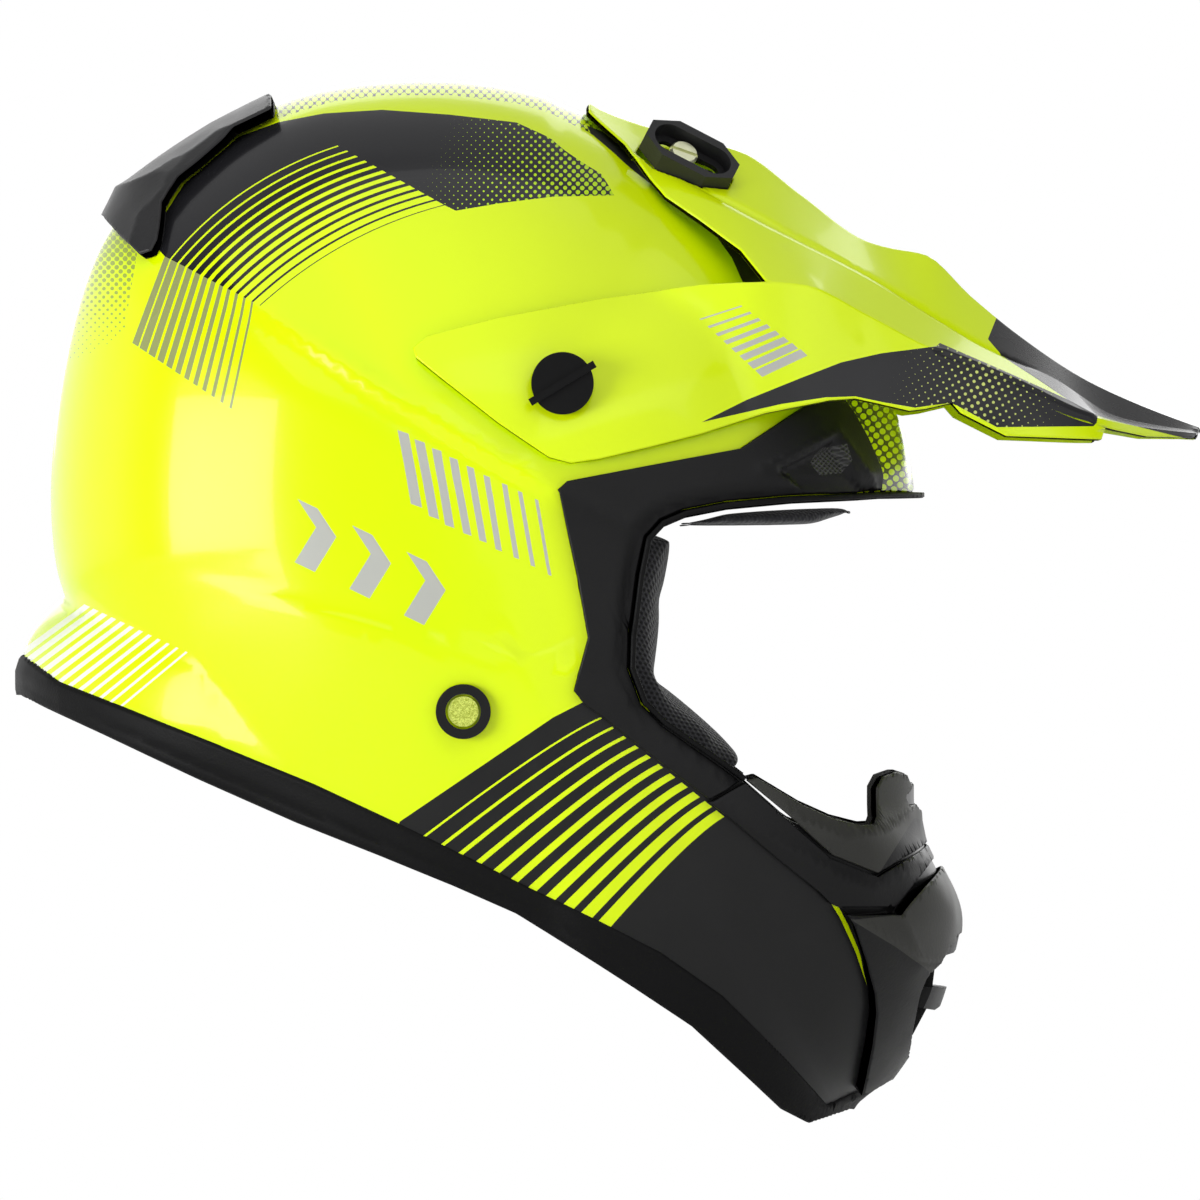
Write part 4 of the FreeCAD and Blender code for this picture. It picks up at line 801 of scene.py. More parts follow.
        for a, b_ in ((f[0], f[1]), (f[1], f[2]), (f[2], f[0])):
            bmat[(a, b_)] = k
    for a, b_ in border:
        faces.append((int(a), int(a) + nv, int(b_) + nv, int(b_)))
        mi.append(bmat[(a, b_)])
    faces = [f[::-1] if i >= 2 * len(tri) else f for i, f in enumerate(faces)]
    Ni = -Nn
    if bevel > 0 and border:
        Ni = Ni.copy()
        Ni[bi] = Ni[bi] * 0.45 + outd[bi]
        Ni /= np.maximum(np.linalg.norm(Ni, axis=1), 1e-9)[:, None]
    normals = np.concatenate([Nr, Ni])
    if both:
        n1 = len(verts)
        seam2 = np.concatenate([onseam, onseam])
        idx = np.where(seam2, np.arange(n1), -1)
        fresh = np.where(~seam2)[0]
        idx[fresh] = n1 + np.arange(len(fresh))
        mv = verts[fresh] * np.array([1, -1, 1])
        verts = np.concatenate([verts, mv])
        normals = np.concatenate([normals, normals[fresh] * np.array([1, -1, 1])])
        faces = faces + [tuple(int(idx[i]) for i in reversed(f)) for f in faces]
        mi = mi + mi
    elif side == "left":
        verts = verts * np.array([1, -1, 1])
        normals = normals * np.array([1, -1, 1])
        faces = [tuple(reversed(f)) for f in faces]
    me = bpy.data.meshes.new(name)
    me.from_pydata([tuple(map(float, p)) for p in verts * MM], [], [tuple(int(i) for i in f) for f in faces])
    me.update()
    for m_ in (mats or []):
        me.materials.append(m_)
    me.polygons.foreach_set("material_index", np.array(mi, dtype=np.int32))
    me.polygons.foreach_set("use_smooth", np.ones(len(faces), bool))
    # analytic normals everywhere keep the gloss clean and the edges crisp
    nrm = normals / np.maximum(np.linalg.norm(normals, axis=1, keepdims=True), 1e-9)
    me.normals_split_custom_set_from_vertices([tuple(map(float, q)) for q in nrm])
    o = bpy.data.objects.new(name, me)
    scene.collection.objects.link(o)
    return o


# =============================================================== side-view outlines, (x, z) mm
RIM_TOP = [(-190.0, -30.4), (-162.4, -46.9), (-146.6, -58.1), (-124.2, -66.8), (-91.0, -80.1), (-57.4, -93.8), (-28.7, -107.1), (-2.1, -120.0), (20.3, -131.2), (40.9, -141.0), (62.3, -151.9), (83.6, -166.9), (105.3, -188.3), (116.2, -200.2), (120.0, -205.4), (132.7, -201.2), (151.2, -192.1), (180.9, -174.6)]
RIM_BOTTOM = [(-195.3, -47.9), (-166.9, -60.9), (-150.8, -68.2), (-130.5, -77.3), (-98.0, -92.4), (-64.0, -107.4), (-35.7, -118.6), (-9.8, -129.2), (11.5, -138.6), (32.2, -151.5), (52.1, -164.5), (72.4, -178.1), (91.7, -196.0), (103.6, -207.2), (112.7, -211.8), (131.2, -206.5), (154.7, -197.0), (184.4, -181.6)]
EYE = [(201.9, 4.9), (138.9, 5.2), (128.8, 4.5), (106.4, 3.5), (84.0, 1.4), (69.6, -1.4), (62.3, -4.5), (57.7, -9.4), (55.3, -21.7), (52.8, -43.0), (52.5, -53.2), (56.7, -64.4), (63.7, -71.4), (72.8, -77.7), (84.0, -85.4), (90.6, -90.3)]
GUARD_TOP = [(98.7, -95.2), (109.5, -102.5), (120.0, -106.8), (129.8, -107.8), (134.0, -106.4), (135.1, -103.6), (135.1, -94.1), (137.2, -90.3), (142.1, -88.5), (145.6, -89.6), (147.7, -94.5), (145.2, -97.3), (145.9, -100.4), (148.8, -99.8), (150.8, -102.5), (153.3, -109.9), (156.1, -111.3)]
GUARD_LOW = [(135.8, -123.5), (120.0, -117.2), (90.6, -91.3)]
BAND = [(90.3, -92.4), (119.7, -118.3), (135.8, -124.8), (156.8, -112.0), (157.1, -116.5), (141.8, -135.4), (122.5, -135.4), (120.0, -134.4), (115.8, -130.2), (100.8, -118.3), (86.1, -106.0), (77.3, -99.0), (79.1, -98.7)]
VENT = [(158.5, -117.2), (169.4, -133.7), (163.1, -142.4), (152.2, -156.1), (151.2, -158.2), (148.0, -176.4), (146.3, -191.4), (130.5, -200.2), (131.6, -194.6), (134.0, -182.0), (135.1, -171.1), (134.4, -163.8), (131.2, -152.9), (126.0, -140.3), (123.2, -136.1), (142.1, -136.1)]
TRIM = [(25.9, 7.7), (29.0, 10.5), (58.4, 16.1), (88.2, 21.7), (103.9, 32.2), (110.9, 36.8), (123.2, 39.5), (127.7, 33.2), (131.9, 25.5), (136.1, 15.7), (138.6, 7.7)]
TRIM_BACK = [(88.5, -92.4), (78.0, -98.3), (54.9, -80.8), (41.6, -70.3), (35.0, -65.8), (31.5, -61.2), (36.4, -43.0), (32.9, -23.1)]
SPOILER = [(-135.8, 115.1), (-110.2, 129.8), (-94.1, 137.2), (-76.6, 144.2), (-72.4, 143.5), (-71.4, 136.5), (-83.3, 129.8), (-102.2, 113.0), (-108.1, 105.0), (-110.2, 93.1), (-112.3, 89.2), (-116.2, 87.5), (-123.5, 94.1), (-128.8, 99.8), (-134.4, 108.8)]


def mix(a, b, t):
    return [(p[0] + (q[0] - p[0]) * t, p[1] + (q[1] - p[1]) * t) for p, q in zip(a, b)]


def offset_line(points, d):
    out = []
    n = len(points)
    for i in range(n):
        dirs = []
        if i > 0:
            dirs.append((points[i][0] - points[i - 1][0], points[i][1] - points[i - 1][1]))
        if i < n - 1:
            dirs.append((points[i + 1][0] - points[i][0], points[i + 1][1] - points[i][1]))
        ns = []
        for dx, dz in dirs:
            l = math.hypot(dx, dz)
            ns.append((-dz / l, dx / l))
        nx = sum(a for a, b in ns) / len(ns)
        nz = sum(b for a, b in ns) / len(ns)
        k = nx * nx + nz * nz
        out.append((points[i][0] + d * nx / k, points[i][1] + d * nz / k))
    return out


def bez(a, c, b, n=24):
    return [((1 - t) ** 2 * a[0] + 2 * t * (1 - t) * c[0] + t * t * b[0], (1 - t) ** 2 * a[1] + 2 * t * (1 - t) * c[1] + t * t * b[1]) for t in [k / n for k in range(n + 1)]]


def lerp(a, b, t):
    return (a[0] + (b[0] - a[0]) * t, a[1] + (b[1] - a[1]) * t)


def chaikin(pts, times=2):
    for _ in range(times):
        out = [pts[0]]
        for a, b in zip(pts, pts[1:]):
            out += [lerp(a, b, 0.25), lerp(a, b, 0.75)]
        out.append(pts[-1])
        pts = out
    return pts


FAR = 330.0

# =============================================================== outer shell
CR1 = [(-86.4, 77.3), (-76.6, 71.4), (-29.0, 39.5), (-4.5, 25.5), (26.9, 7.3)]
CR2 = [(-130.5, -18.5), (-121.4, -20.3), (-100.1, -24.5), (-82.6, -29.4), (-47.9, -38.1), (-14.3, -46.9), (9.8, -50.8)]
FACET = [(9.8, -50.8), (15.0, -55.3), (32.5, -59.1), (38.1, -44.4), (32.5, -33.9)]
FL_RIDGE = [(-99.8, -49.0), (-85.0, -65.5), (-65.1, -89.2)]


def shell_disp(x, z):
    d1, s1, a1 = seg_dist(x, z, CR1)       # below line 1 is on its right: negative
    d2, s2, a2 = seg_dist(x, z, CR2)       # above line 2 is on its left: positive
    below1 = np.where(s1 < 0, d1, -d1)
    above2 = np.where(s2 > 0, d2, -d2)
    k = sstep(below1, 0.0, 7.0) * sstep(above2, -0.2, 5.5) * sstep(x, -110.0, -35.0) * sstep(x, 62.0, 22.0)
    k = np.where(x < 62, k, 0.0)
    ridge = 0.7 * np.exp(-(d1 / 3.2) ** 2) * sstep(x, -90.0, -40.0)
    d3, s3, a3 = seg_dist(x, z, FL_RIDGE)
    lip = 1.3 * np.exp(-(d3 / 4.5)) * (s3 > -2)
    room = 1.1 * sstep(x, 21.0, 30.0) * sstep(z, 112.0, 124.0)   # room for the visor's rear edge when it is raised
    return -2.0 * k + ridge + 0.0 * lip - room


shell_bottom = mix(RIM_TOP, RIM_BOTTOM, 0.5)
eye_out = offset_line(EYE, -2.0)
eye_cut = eye_out + offset_line(GUARD_TOP, -5.0)[:8] + [(FAR, offset_line(GUARD_TOP, -4.0)[6][1]), (FAR, EYE[0][1])]
shell_outline = shell_bottom + [(FAR, shell_bottom[-1][1]), (FAR, FAR), (-FAR, FAR), (-FAR, shell_bottom[0][1])]
mouth_cut = [(143.5, -144.2), (180.9, -140.7), (180.9, -186.2), (137.5, -184.4), (139.6, -170.4)]

S0, S1 = [(-52.5, 128.8), (-12.9, 106.4)]
B0, B1 = [(-110.2, 88.9), (-76.6, 71.4)]
E0, E1 = [(-121.4, 58.8), (-84.0, 33.9)]
C0, C1 = [(-87.8, 117.2), (-49.0, 96.9)]


def fan(k):
    return bez(lerp(S0, S1, k), lerp(C0, C1, k), lerp(B0, B1, k), 20)


regions = []
# colours: 0 yellow, 1 crown print, 2 crown mesh print, 3 rear print, 4 grey, 5 white, 6 olive, 7 satin black, 8 brow
# print, 9 dark (inner faces, and a painted shadow strip)
regions.append(([(-77.3, 151.5), (-64.0, 155.0), (-29.0, 158.5), (5.9, 156.4), (40.9, 148.0), (54.9, 137.5), (45.1, 127.7), (37.4, 133.7), (26.9, 138.6), (11.9, 142.8), (-10.8, 145.6), (-35.0, 145.6), (-53.5, 143.1), (-71.4, 137.5)], 2))
regions.append(([(-148.0, 104.3), (-129.8, 109.5), (-127.7, 98.3), (-120.0, 89.9), (-122.5, 74.5), (-124.2, 62.3), (-134.0, 56.3), (-155.0, 49.3)], 3))
crown = [(-71.4, 136.1), (-55.3, 139.1), (-35.0, 140.3), (-11.0, 138.5), (11.9, 135.8), (24.5, 130.0), (41.5, 118.3), (45.8, 110.2), (24.5, 109.5), (6.6, 107.2), (-9.0, 104.5)] + list(fan(1.0)) + [B0] + [(-113.0, 92.0), (-110.2, 104.3), (-103.9, 114.4), (-85.0, 131.2)]
regions.append((crown, 1))
n_st = 12
for j in range(n_st):
    k = (j + 0.75) / (n_st + 0.25)
    g = (0.16 + 0.62 * (j / (n_st - 1))) / (n_st + 0.25) / 2
    regions.append((fan(k - g) + list(reversed(fan(k + g))), 0))
for j in range(n_st):
    k0 = 0.0 if j == 0 else (j - 1 + 0.75) / (n_st + 0.25) + (0.16 + 0.62 * ((j - 1) / (n_st - 1))) / (n_st + 0.25) / 2
    k1 = (j + 0.75) / (n_st + 0.25) - (0.16 + 0.62 * (j / (n_st - 1))) / (n_st + 0.25) / 2
    regions.append(([lerp(B0, B1, k0), lerp(B0, B1, k1), lerp(E0, E1, k1), lerp(E0, E1, k0)], 6))
tops = [(-29.0, 28.7), (-23.1, 25.5), (-17.1, 22.4), (-11.2, 19.2), (-5.2, 16.1), (0.7, 12.9), (7.0, 10.1), (12.6, 7.3), (18.5, 4.5)]
bots = [(-24.5, 2.8), (-18.2, -1.4), (-12.6, -4.5), (-6.3, -7.3), (-0.7, -9.8), (4.9, -12.9), (11.2, -15.7), (17.1, -18.5), (23.1, -21.7)]
for j, (a, c) in enumerate(zip(tops, bots)):
    w_ = (11.0 - j * 0.95) * 0.35
    regions.append(([a, (a[0] + w_, a[1] - w_ * 0.35), (c[0] + w_, c[1] - w_ * 0.35), c], 4))
# plain chevrons on the cheek
for j in range(3):
    x0, z0 = [(-64.0, 4.5)][0]
    x0 += j * 19.0
    z0 -= j * 9.2
    h_, t_, s_ = 11.0, 7.0, 6.5
    regions.append(([(x0, z0 + 0), (x0 + t_, z0 - t_ * 0.48), (x0 + t_ + s_, z0 - t_ * 0.48 - h_ * 0.9), (x0 + t_ - 1.0, z0 - t_ * 0.48 - 2 * h_), (x0 - 1.0, z0 - 2 * h_), (x0 + s_, z0 - h_ * 0.9)], 4))
# white strokes on the neck flare
FA, FB = [(-139.6, -31.5), (-100.4, -49.3)]
RA, RB = [(-171.8, -54.2), (-122.8, -67.9)]
for j in range(12):
    k = (j + 0.3) / 12.0
    w_ = (0.62 - 0.036 * j) / 12.0
    a, c = lerp(FA, FB, k), lerp(FA, FB, k + w_)
    e, f = lerp(RA, RB, k), lerp(RA, RB, k + w_)
    regions.append(([a, c, f, e], 5))
# chin
regions.append(([(-28.3, -107.1), (24.8, -71.0), (35.0, -65.8), (40.9, -61.9), (82.9, -79.4), (96.9, -80.1), (184.4, -80.1), (184.4, -208.9), (128.4, -226.4), (-36.0, -128.4)], 7))
ra, rb = [(41.3, -71.2), (82.6, -104.3)]
la, lb = [(-19.9, -112.3), (42.0, -143.1)]
for j in range(11):
    k = j / 10.0
    w_ = (0.14 + 0.60 * k) / 11.0 / 2
    L = []
    for kk in (k - w_, k + w_):
        r_, l_ = lerp(ra, rb, kk), lerp(la, lb, kk)
        c_ = lerp(l_, r_, 0.76)
        c_ = (c_[0] - 2.0, c_[1] + 2.6)
        L.append(bez(l_, c_, r_, 16))
    regions.append((L[0] + list(reversed(L[1])), 0))
regions.append(([(115.1, -124.2), (123.5, -136.5), (127.0, -143.1), (131.2, -152.9), (134.0, -165.2), (129.5, -152.2), (124.2, -140.7), (118.6, -131.6)], 0))
regions.append(([(123.2, 41.3), (180.9, 41.3), (180.9, 4.5), (128.4, 4.5), (127.0, 15.0)], 8))

# painted shadow: a black strip on the shell along the visor's rear edge stands for the shade in the gap under it
regions.append(([(36.8, 136.1), (42.3, 134.0), (50.8, 127.0), (60.5, 116.5), (66.8, 110.9), (78.0, 103.2), (92.0, 92.8), (101.1, 79.4), (90.5, 80.0), (86.8, 88.5), (79.8, 98.3), (69.6, 106.4), (60.2, 113.0), (54.9, 117.9), (46.2, 126.3), (38.1, 133.3)], 9))

FLAT_1 = [(9.8, -50.8), (15.0, -55.3), (32.5, -59.1), (38.1, -44.4), (32.5, -33.9)]
FLAT_2 = [(-139.6, -26.9), (-99.8, -49.0), (-85.0, -65.5), (-65.1, -89.2), (-91.0, -80.1), (-124.2, -66.8), (-148.0, -56.7), (-169.0, -44.4)]


def shell_tilt(P):
    t = np.zeros_like(P)
    for poly, lean in ((FLAT_1, 0.34), (FLAT_2, 0.16)):
        d_, _, _ = seg_dist(P[:, 0], P[:, 2], poly + [poly[0]])
        ins_ = in_poly(P[:, [0, 2]], np.array(poly))
        t[:, 2] += np.where(ins_, lean * sstep(d_, 0.0, 2.5), 0.0)
    return t


shell_surf = BodySurf(0.0, shell_disp)
shell = skin("outer_shell_skin", shell_surf, [shell_outline], [eye_cut, mouth_cut], regions, [CR1, CR2, FACET + [FACET[0]], FL_RIDGE],
             mats=[mat_yellow, mat_crown, mat_mesh_print, mat_rear_print, mat_grey, mat_white, mat_olive, mat_satin, mat_brow_print, mat_inner_and_painted_shade], thick=4.0, bevel=0.6, inner_mat=9, tilt=shell_tilt)
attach(shell, "helmet"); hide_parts("outer_shell")


# =============================================================== trims over the shell
def crest(x, z, line, height, reach):
    d, s, a = seg_dist(x, z, line)
    return height * np.exp(-d / reach)


T_R1 = [(25.9, 7.7), (40.9, 0.0), (56.0, -7.0)]
T_R2 = [(31.5, -61.6), (40.9, -64.4), (50.0, -66.1)]
T_R3 = [(96.9, 15.0), (110.9, 22.0), (123.2, 28.0), (131.2, 17.8), (138.9, 7.0)]
T_R4 = [(36.4, -43.0), (51.4, -44.4)]
SCOOP = [(101.1, 14.3), (110.9, 19.2), (122.5, 25.5), (129.2, 15.0), (134.0, 7.3), (124.9, 6.6), (110.9, 8.0)]
SCOOP_NET = [(113.0, 17.1), (115.8, 22.0), (123.5, 23.1), (125.6, 17.8), (124.2, 13.6), (116.2, 12.9)]


def trim_disp(x, z):
    k = crest(x, z, T_R1, 1.5, 5.0) + crest(x, z, T_R2, 1.2, 4.0) + crest(x, z, T_R3, 1.3, 2.2)
    d, s, a = seg_dist(x, z, EYE)
    k = k - 2.6 * (1 - sstep(d, 2.0, 9.0))
    c = np.stack([x, z], -1).reshape(-1, 2)
    ins = in_poly(c, np.array(SCOOP)).reshape(np.shape(x))
    ds, _, _ = seg_dist(x, z, SCOOP + [SCOOP[0]])
    k = k - np.where(ins, 2.4 * sstep(ds, 0.0, 2.2), 0.0)
    return np.clip(k, -2.7, 2.0)


trim_line = offset_line(EYE, -2.2)
trim_poly = TRIM + trim_line[2:] + TRIM_BACK
trim_surf = BodySurf(3.0, trim_disp)
trim_surf.step = math.radians(0.9)
for side in ("right", "left"):
    o = skin("eyeport_trim_%s_skin" % side, trim_surf, [trim_poly], [], [(SCOOP_NET, 1)], [T_R1, T_R2, T_R3, SCOOP + [SCOOP[0]]], mats=[mat_trim, mat_screen], thick=2.6, bevel=0.7, both=False, side=side)
    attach(o, "helmet"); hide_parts("eyeport_trim_" + side)

gasket_poly = EYE[1:] + list(reversed(offset_line(EYE, -1.9)[1:]))
g_surf = BodySurf(3.6)
g_surf.step = math.radians(0.9)
gasket_full = EYE + list(reversed(offset_line(EYE, -1.9)))
o = skin("eyeport_gasket_skin", g_surf, [gasket_full], [], [], [], mats=[mat_rubber], thick=9.0, bevel=0.8, spacing=math.radians(0.8))
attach(o, "helmet"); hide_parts("eyeport_gasket")

G_R = [(90.6, -92.0), (109.5, -106.8), (124.9, -112.7), (138.9, -110.2), (147.7, -104.6)]


def guard_disp(x, z):
    return np.clip(crest(x, z, G_R, 1.0, 3.0), 0, 1.2)


g2 = BodySurf(3.2, guard_disp)
g2.step = math.radians(0.8)


def facet(line, up, low, reach=1.2):
    """Two flat faces meeting on a line: each side of it leans its own way."""
    def f(P):
        d, s_, a = seg_dist(P[:, 0], P[:, 2], line)
        k = sstep(d * s_, -reach, reach)[:, None]
        u, l = np.array([up]).repeat(len(P), 0), np.array([low]).repeat(len(P), 0)
        return u * k + l * (1 - k)
    return f


# painted light: the nose guard is laid in the lighter black (region 1) to stand for its lit face
o = skin("nose_guard_skin", g2, [[(94.1, -90.6), (109.5, -99.8), (120.4, -104.6), (129.8, -106.8)] + GUARD_TOP[4:] + GUARD_LOW], [], [([(90.6, -86.4), (180.9, -86.4), (180.9, -114.4), (147.7, -104.6), (135.8, -123.5), (120.0, -117.2), (90.6, -92.0)], 1)], [G_R], mats=[mat_trim, mat_trim_painted_light], thick=2.8, bevel=0.7, tilt=facet(G_R, (0.0, 0.0, 0.55), (0.0, 0.0, 0.1)))
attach(o, "helmet"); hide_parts("nose_guard")

B_R = [(81.5, -101.5), (103.9, -116.2), (121.4, -126.3), (135.8, -130.5), (147.7, -124.9)]
b2 = BodySurf(3.0, lambda x, z: np.clip(crest(x, z, B_R, 0.9, 3.0), 0, 1.0))
b2.step = math.radians(0.8)
o = skin("chin_band_skin", b2, [BAND], [], [], [B_R], mats=[mat_trim], thick=2.6, bevel=0.6, tilt=facet(B_R, (0.0, 0.0, 0.3), (0.0, 0.0, 0.0)))
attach(o, "helmet"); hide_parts("chin_band")

V_R = [(124.2, -137.5), (138.9, -146.6), (152.2, -156.4), (163.4, -157.1)]
V_R2 = [(142.1, -136.1), (147.7, -144.2), (152.2, -155.8)]


def vent_disp(x, z):
    d, s, a = seg_dist(x, z, V_R)
    low = np.where(s < 0, d, 0.0)
    return np.clip(1.3 * np.exp(-d / 4.0) - 1.6 * sstep(low, 1.0, 14.0) + crest(x, z, V_R2, 0.8, 2.5), -2.0, 1.5)


v2 = BodySurf(6.0, vent_disp)
v2.step = math.radians(0.8)
# painted light: the vent frame's upper face is laid in the lighter black (region 1) to stand for light falling on it
o = skin("mouth_vent_frame_skin", v2, [VENT], [], [([(124.2, -137.5), (142.1, -136.1), (158.5, -117.2), (177.4, -133.7), (163.1, -144.2), (152.2, -156.4), (138.9, -146.6)], 1)], [V_R, V_R2], mats=[mat_trim, mat_trim_painted_light], thick=5.4, bevel=0.7, tilt=facet(V_R, (0.0, 0.0, 0.6), (0.0, 0.0, -0.2)))
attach(o, "helmet"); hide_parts("mouth_vent_frame")

R_G = mix(RIM_TOP, RIM_BOTTOM, 0.72)


def rim_disp(x, z):
    d, s, a = seg_dist(x, z, R_G)
    return -0.5 * np.exp(-(d / 1.1) ** 2) + 0.9 * sstep(d, 9.0, 2.0)


r2 = BodySurf(1.2, rim_disp)
r2.step = math.radians(1.0)
o = skin("rim_trim_skin", r2, [RIM_TOP + list(reversed(RIM_BOTTOM))], [], [], [R_G], mats=[mat_rubber], thick=7.4, bevel=2.0)
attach(o, "helmet"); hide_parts("rim_trim")

S_R1 = [(-134.4, 112.3), (-123.5, 114.4), (-107.4, 120.7), (-92.4, 132.7), (-72.1, 140.3)]
S_R2 = [(-123.5, 94.1), (-120.0, 104.3), (-110.9, 113.0), (-107.4, 120.7)]
S_GR = [(-116.2, 87.8), (-112.3, 101.8), (-103.2, 114.4), (-85.0, 132.7), (-71.4, 140.3)]


def spoiler_disp(x, z):
    d1, s1, a1 = seg_dist(x, z, S_R1)
    d2, s2, a2 = seg_dist(x, z, S_R2)
    d3, s3, a3 = seg_dist(x, z, S_GR)
    return np.clip(-2.6 + 3.4 * np.exp(-d1 / 6.0) + 1.6 * np.exp(-d2 / 4.0), -3.0, 1.0)


s2_ = BodySurf(6.4, spoiler_disp)
s2_.step = math.radians(0.9)
o = skin("rear_spoiler_skin", s2_, [SPOILER], [], [], [S_R1, S_R2], mats=[mat_spoiler], thick=4.2, bevel=1.0)
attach(o, "helmet"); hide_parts("rear_spoiler")

# =============================================================== visor
VISOR = [(37.4, 148.0), (37.4, 140.3), (40.9, 136.8), (49.7, 128.8), (58.4, 116.5), (63.7, 110.2), (75.9, 101.8), (89.9, 91.3), (98.7, 80.1), (75.9, 79.1), (40.9, 74.2), (5.9, 67.5), (-18.5, 61.2), (-23.8, 57.0), (-22.8, 53.5), (-15.0, 47.2), (5.9, 30.8), (23.4, 18.9), (31.1, 16.8), (40.9, 18.2), (58.4, 22.4), (75.9, 26.9), (98.3, 34.3), (120.4, 38.8), (129.5, 39.5), (136.1, 38.1), (148.4, 35.3), (154.0, 36.0), (163.1, 38.1), (166.2, 34.6), (182.0, 26.6), (215.6, 25.5), (217.0, 29.7), (220.8, 28.7), (232.0, 26.6), (248.8, 26.2), (250.9, 29.7), (254.4, 32.5), (254.4, 148.0)]


def table(pts):
    return pchip([p[0] for p in pts], [p[1] for p in pts])


Z_TOP = table([(-29.0, 158.5), (-1.0, 157.8), (26.9, 150.8), (40.9, 141.4), (54.9, 136.1), (72.4, 131.2), (90.6, 126.3), (110.9, 111.6), (134.0, 95.2), (142.4, 92.8), (154.0, 90.6), (170.4, 75.9), (186.2, 63.0), (210.0, 47.2), (229.9, 38.1), (254.4, 29.0)])
Z_GROOVE = table([(-29.0, 155.0), (-1.0, 151.5), (26.9, 140.3), (40.9, 130.5), (54.9, 123.5), (72.4, 115.1), (90.6, 105.3), (110.6, 94.8), (134.0, 82.6), (154.0, 70.3), (172.9, 58.8), (180.9, 54.9), (198.8, 46.9), (220.8, 33.6), (233.4, 30.8), (254.4, 28.0)])
Z_CREASE = table([(-29.0, 58.4), (-1.0, 66.1), (26.9, 71.8), (40.9, 74.2), (54.9, 76.6), (72.4, 78.8), (90.6, 80.1), (110.9, 78.8), (134.0, 68.2), (154.0, 57.7), (170.4, 51.4), (186.2, 44.8), (210.0, 33.9), (229.9, 29.7), (254.4, 27.3)])
Z_LOW = table([(-29.0, 32.5), (-1.0, 22.0), (26.9, 9.8), (40.9, 11.5), (54.9, 15.0), (72.4, 20.3), (90.6, 26.2), (110.9, 32.5), (134.0, 33.9), (154.0, 31.1), (170.4, 26.9), (186.2, 22.0), (210.0, 22.0), (229.9, 21.3), (254.4, 19.9)])
YX = [x for x, z in [(40.9, 179.5), (72.4, 179.5), (90.6, 179.5), (110.9, 179.5), (134.0, 179.5), (154.0, 179.5), (170.4, 179.5), (186.2, 179.5), (210.0, 179.5), (216.6, 179.5), (229.9, 179.5), (243.9, 179.5), (253.7, 179.5)]]
YX = [YX[0] - 80.0] + YX + [YX[-1] + 5.0]


def ytable(v):
    return pchip(YX, [v[0]] + list(v) + [v[-1]])


Y_RIDGE = ytable([20, 24, 27, 30, 36, 38, 37, 35, 29, 26, 19, 12, 7])
Y_GROOVE = ytable([46, 54, 58, 61, 62, 60, 57, 53, 43, 39, 29, 18, 11])
Y_CREASE = ytable([90, 96, 96, 92, 87, 83, 80, 77, 71, 67, 48, 28, 15])
Y_LOW = ytable([100, 106, 106, 103, 97, 92, 88, 84, 76, 71, 51, 30, 17])
KV = 34.0
RIB0, RIB1 = [(156.4, 179.5), (214.5, 179.5)][0][0], [(156.4, 179.5), (214.5, 179.5)][1][0]


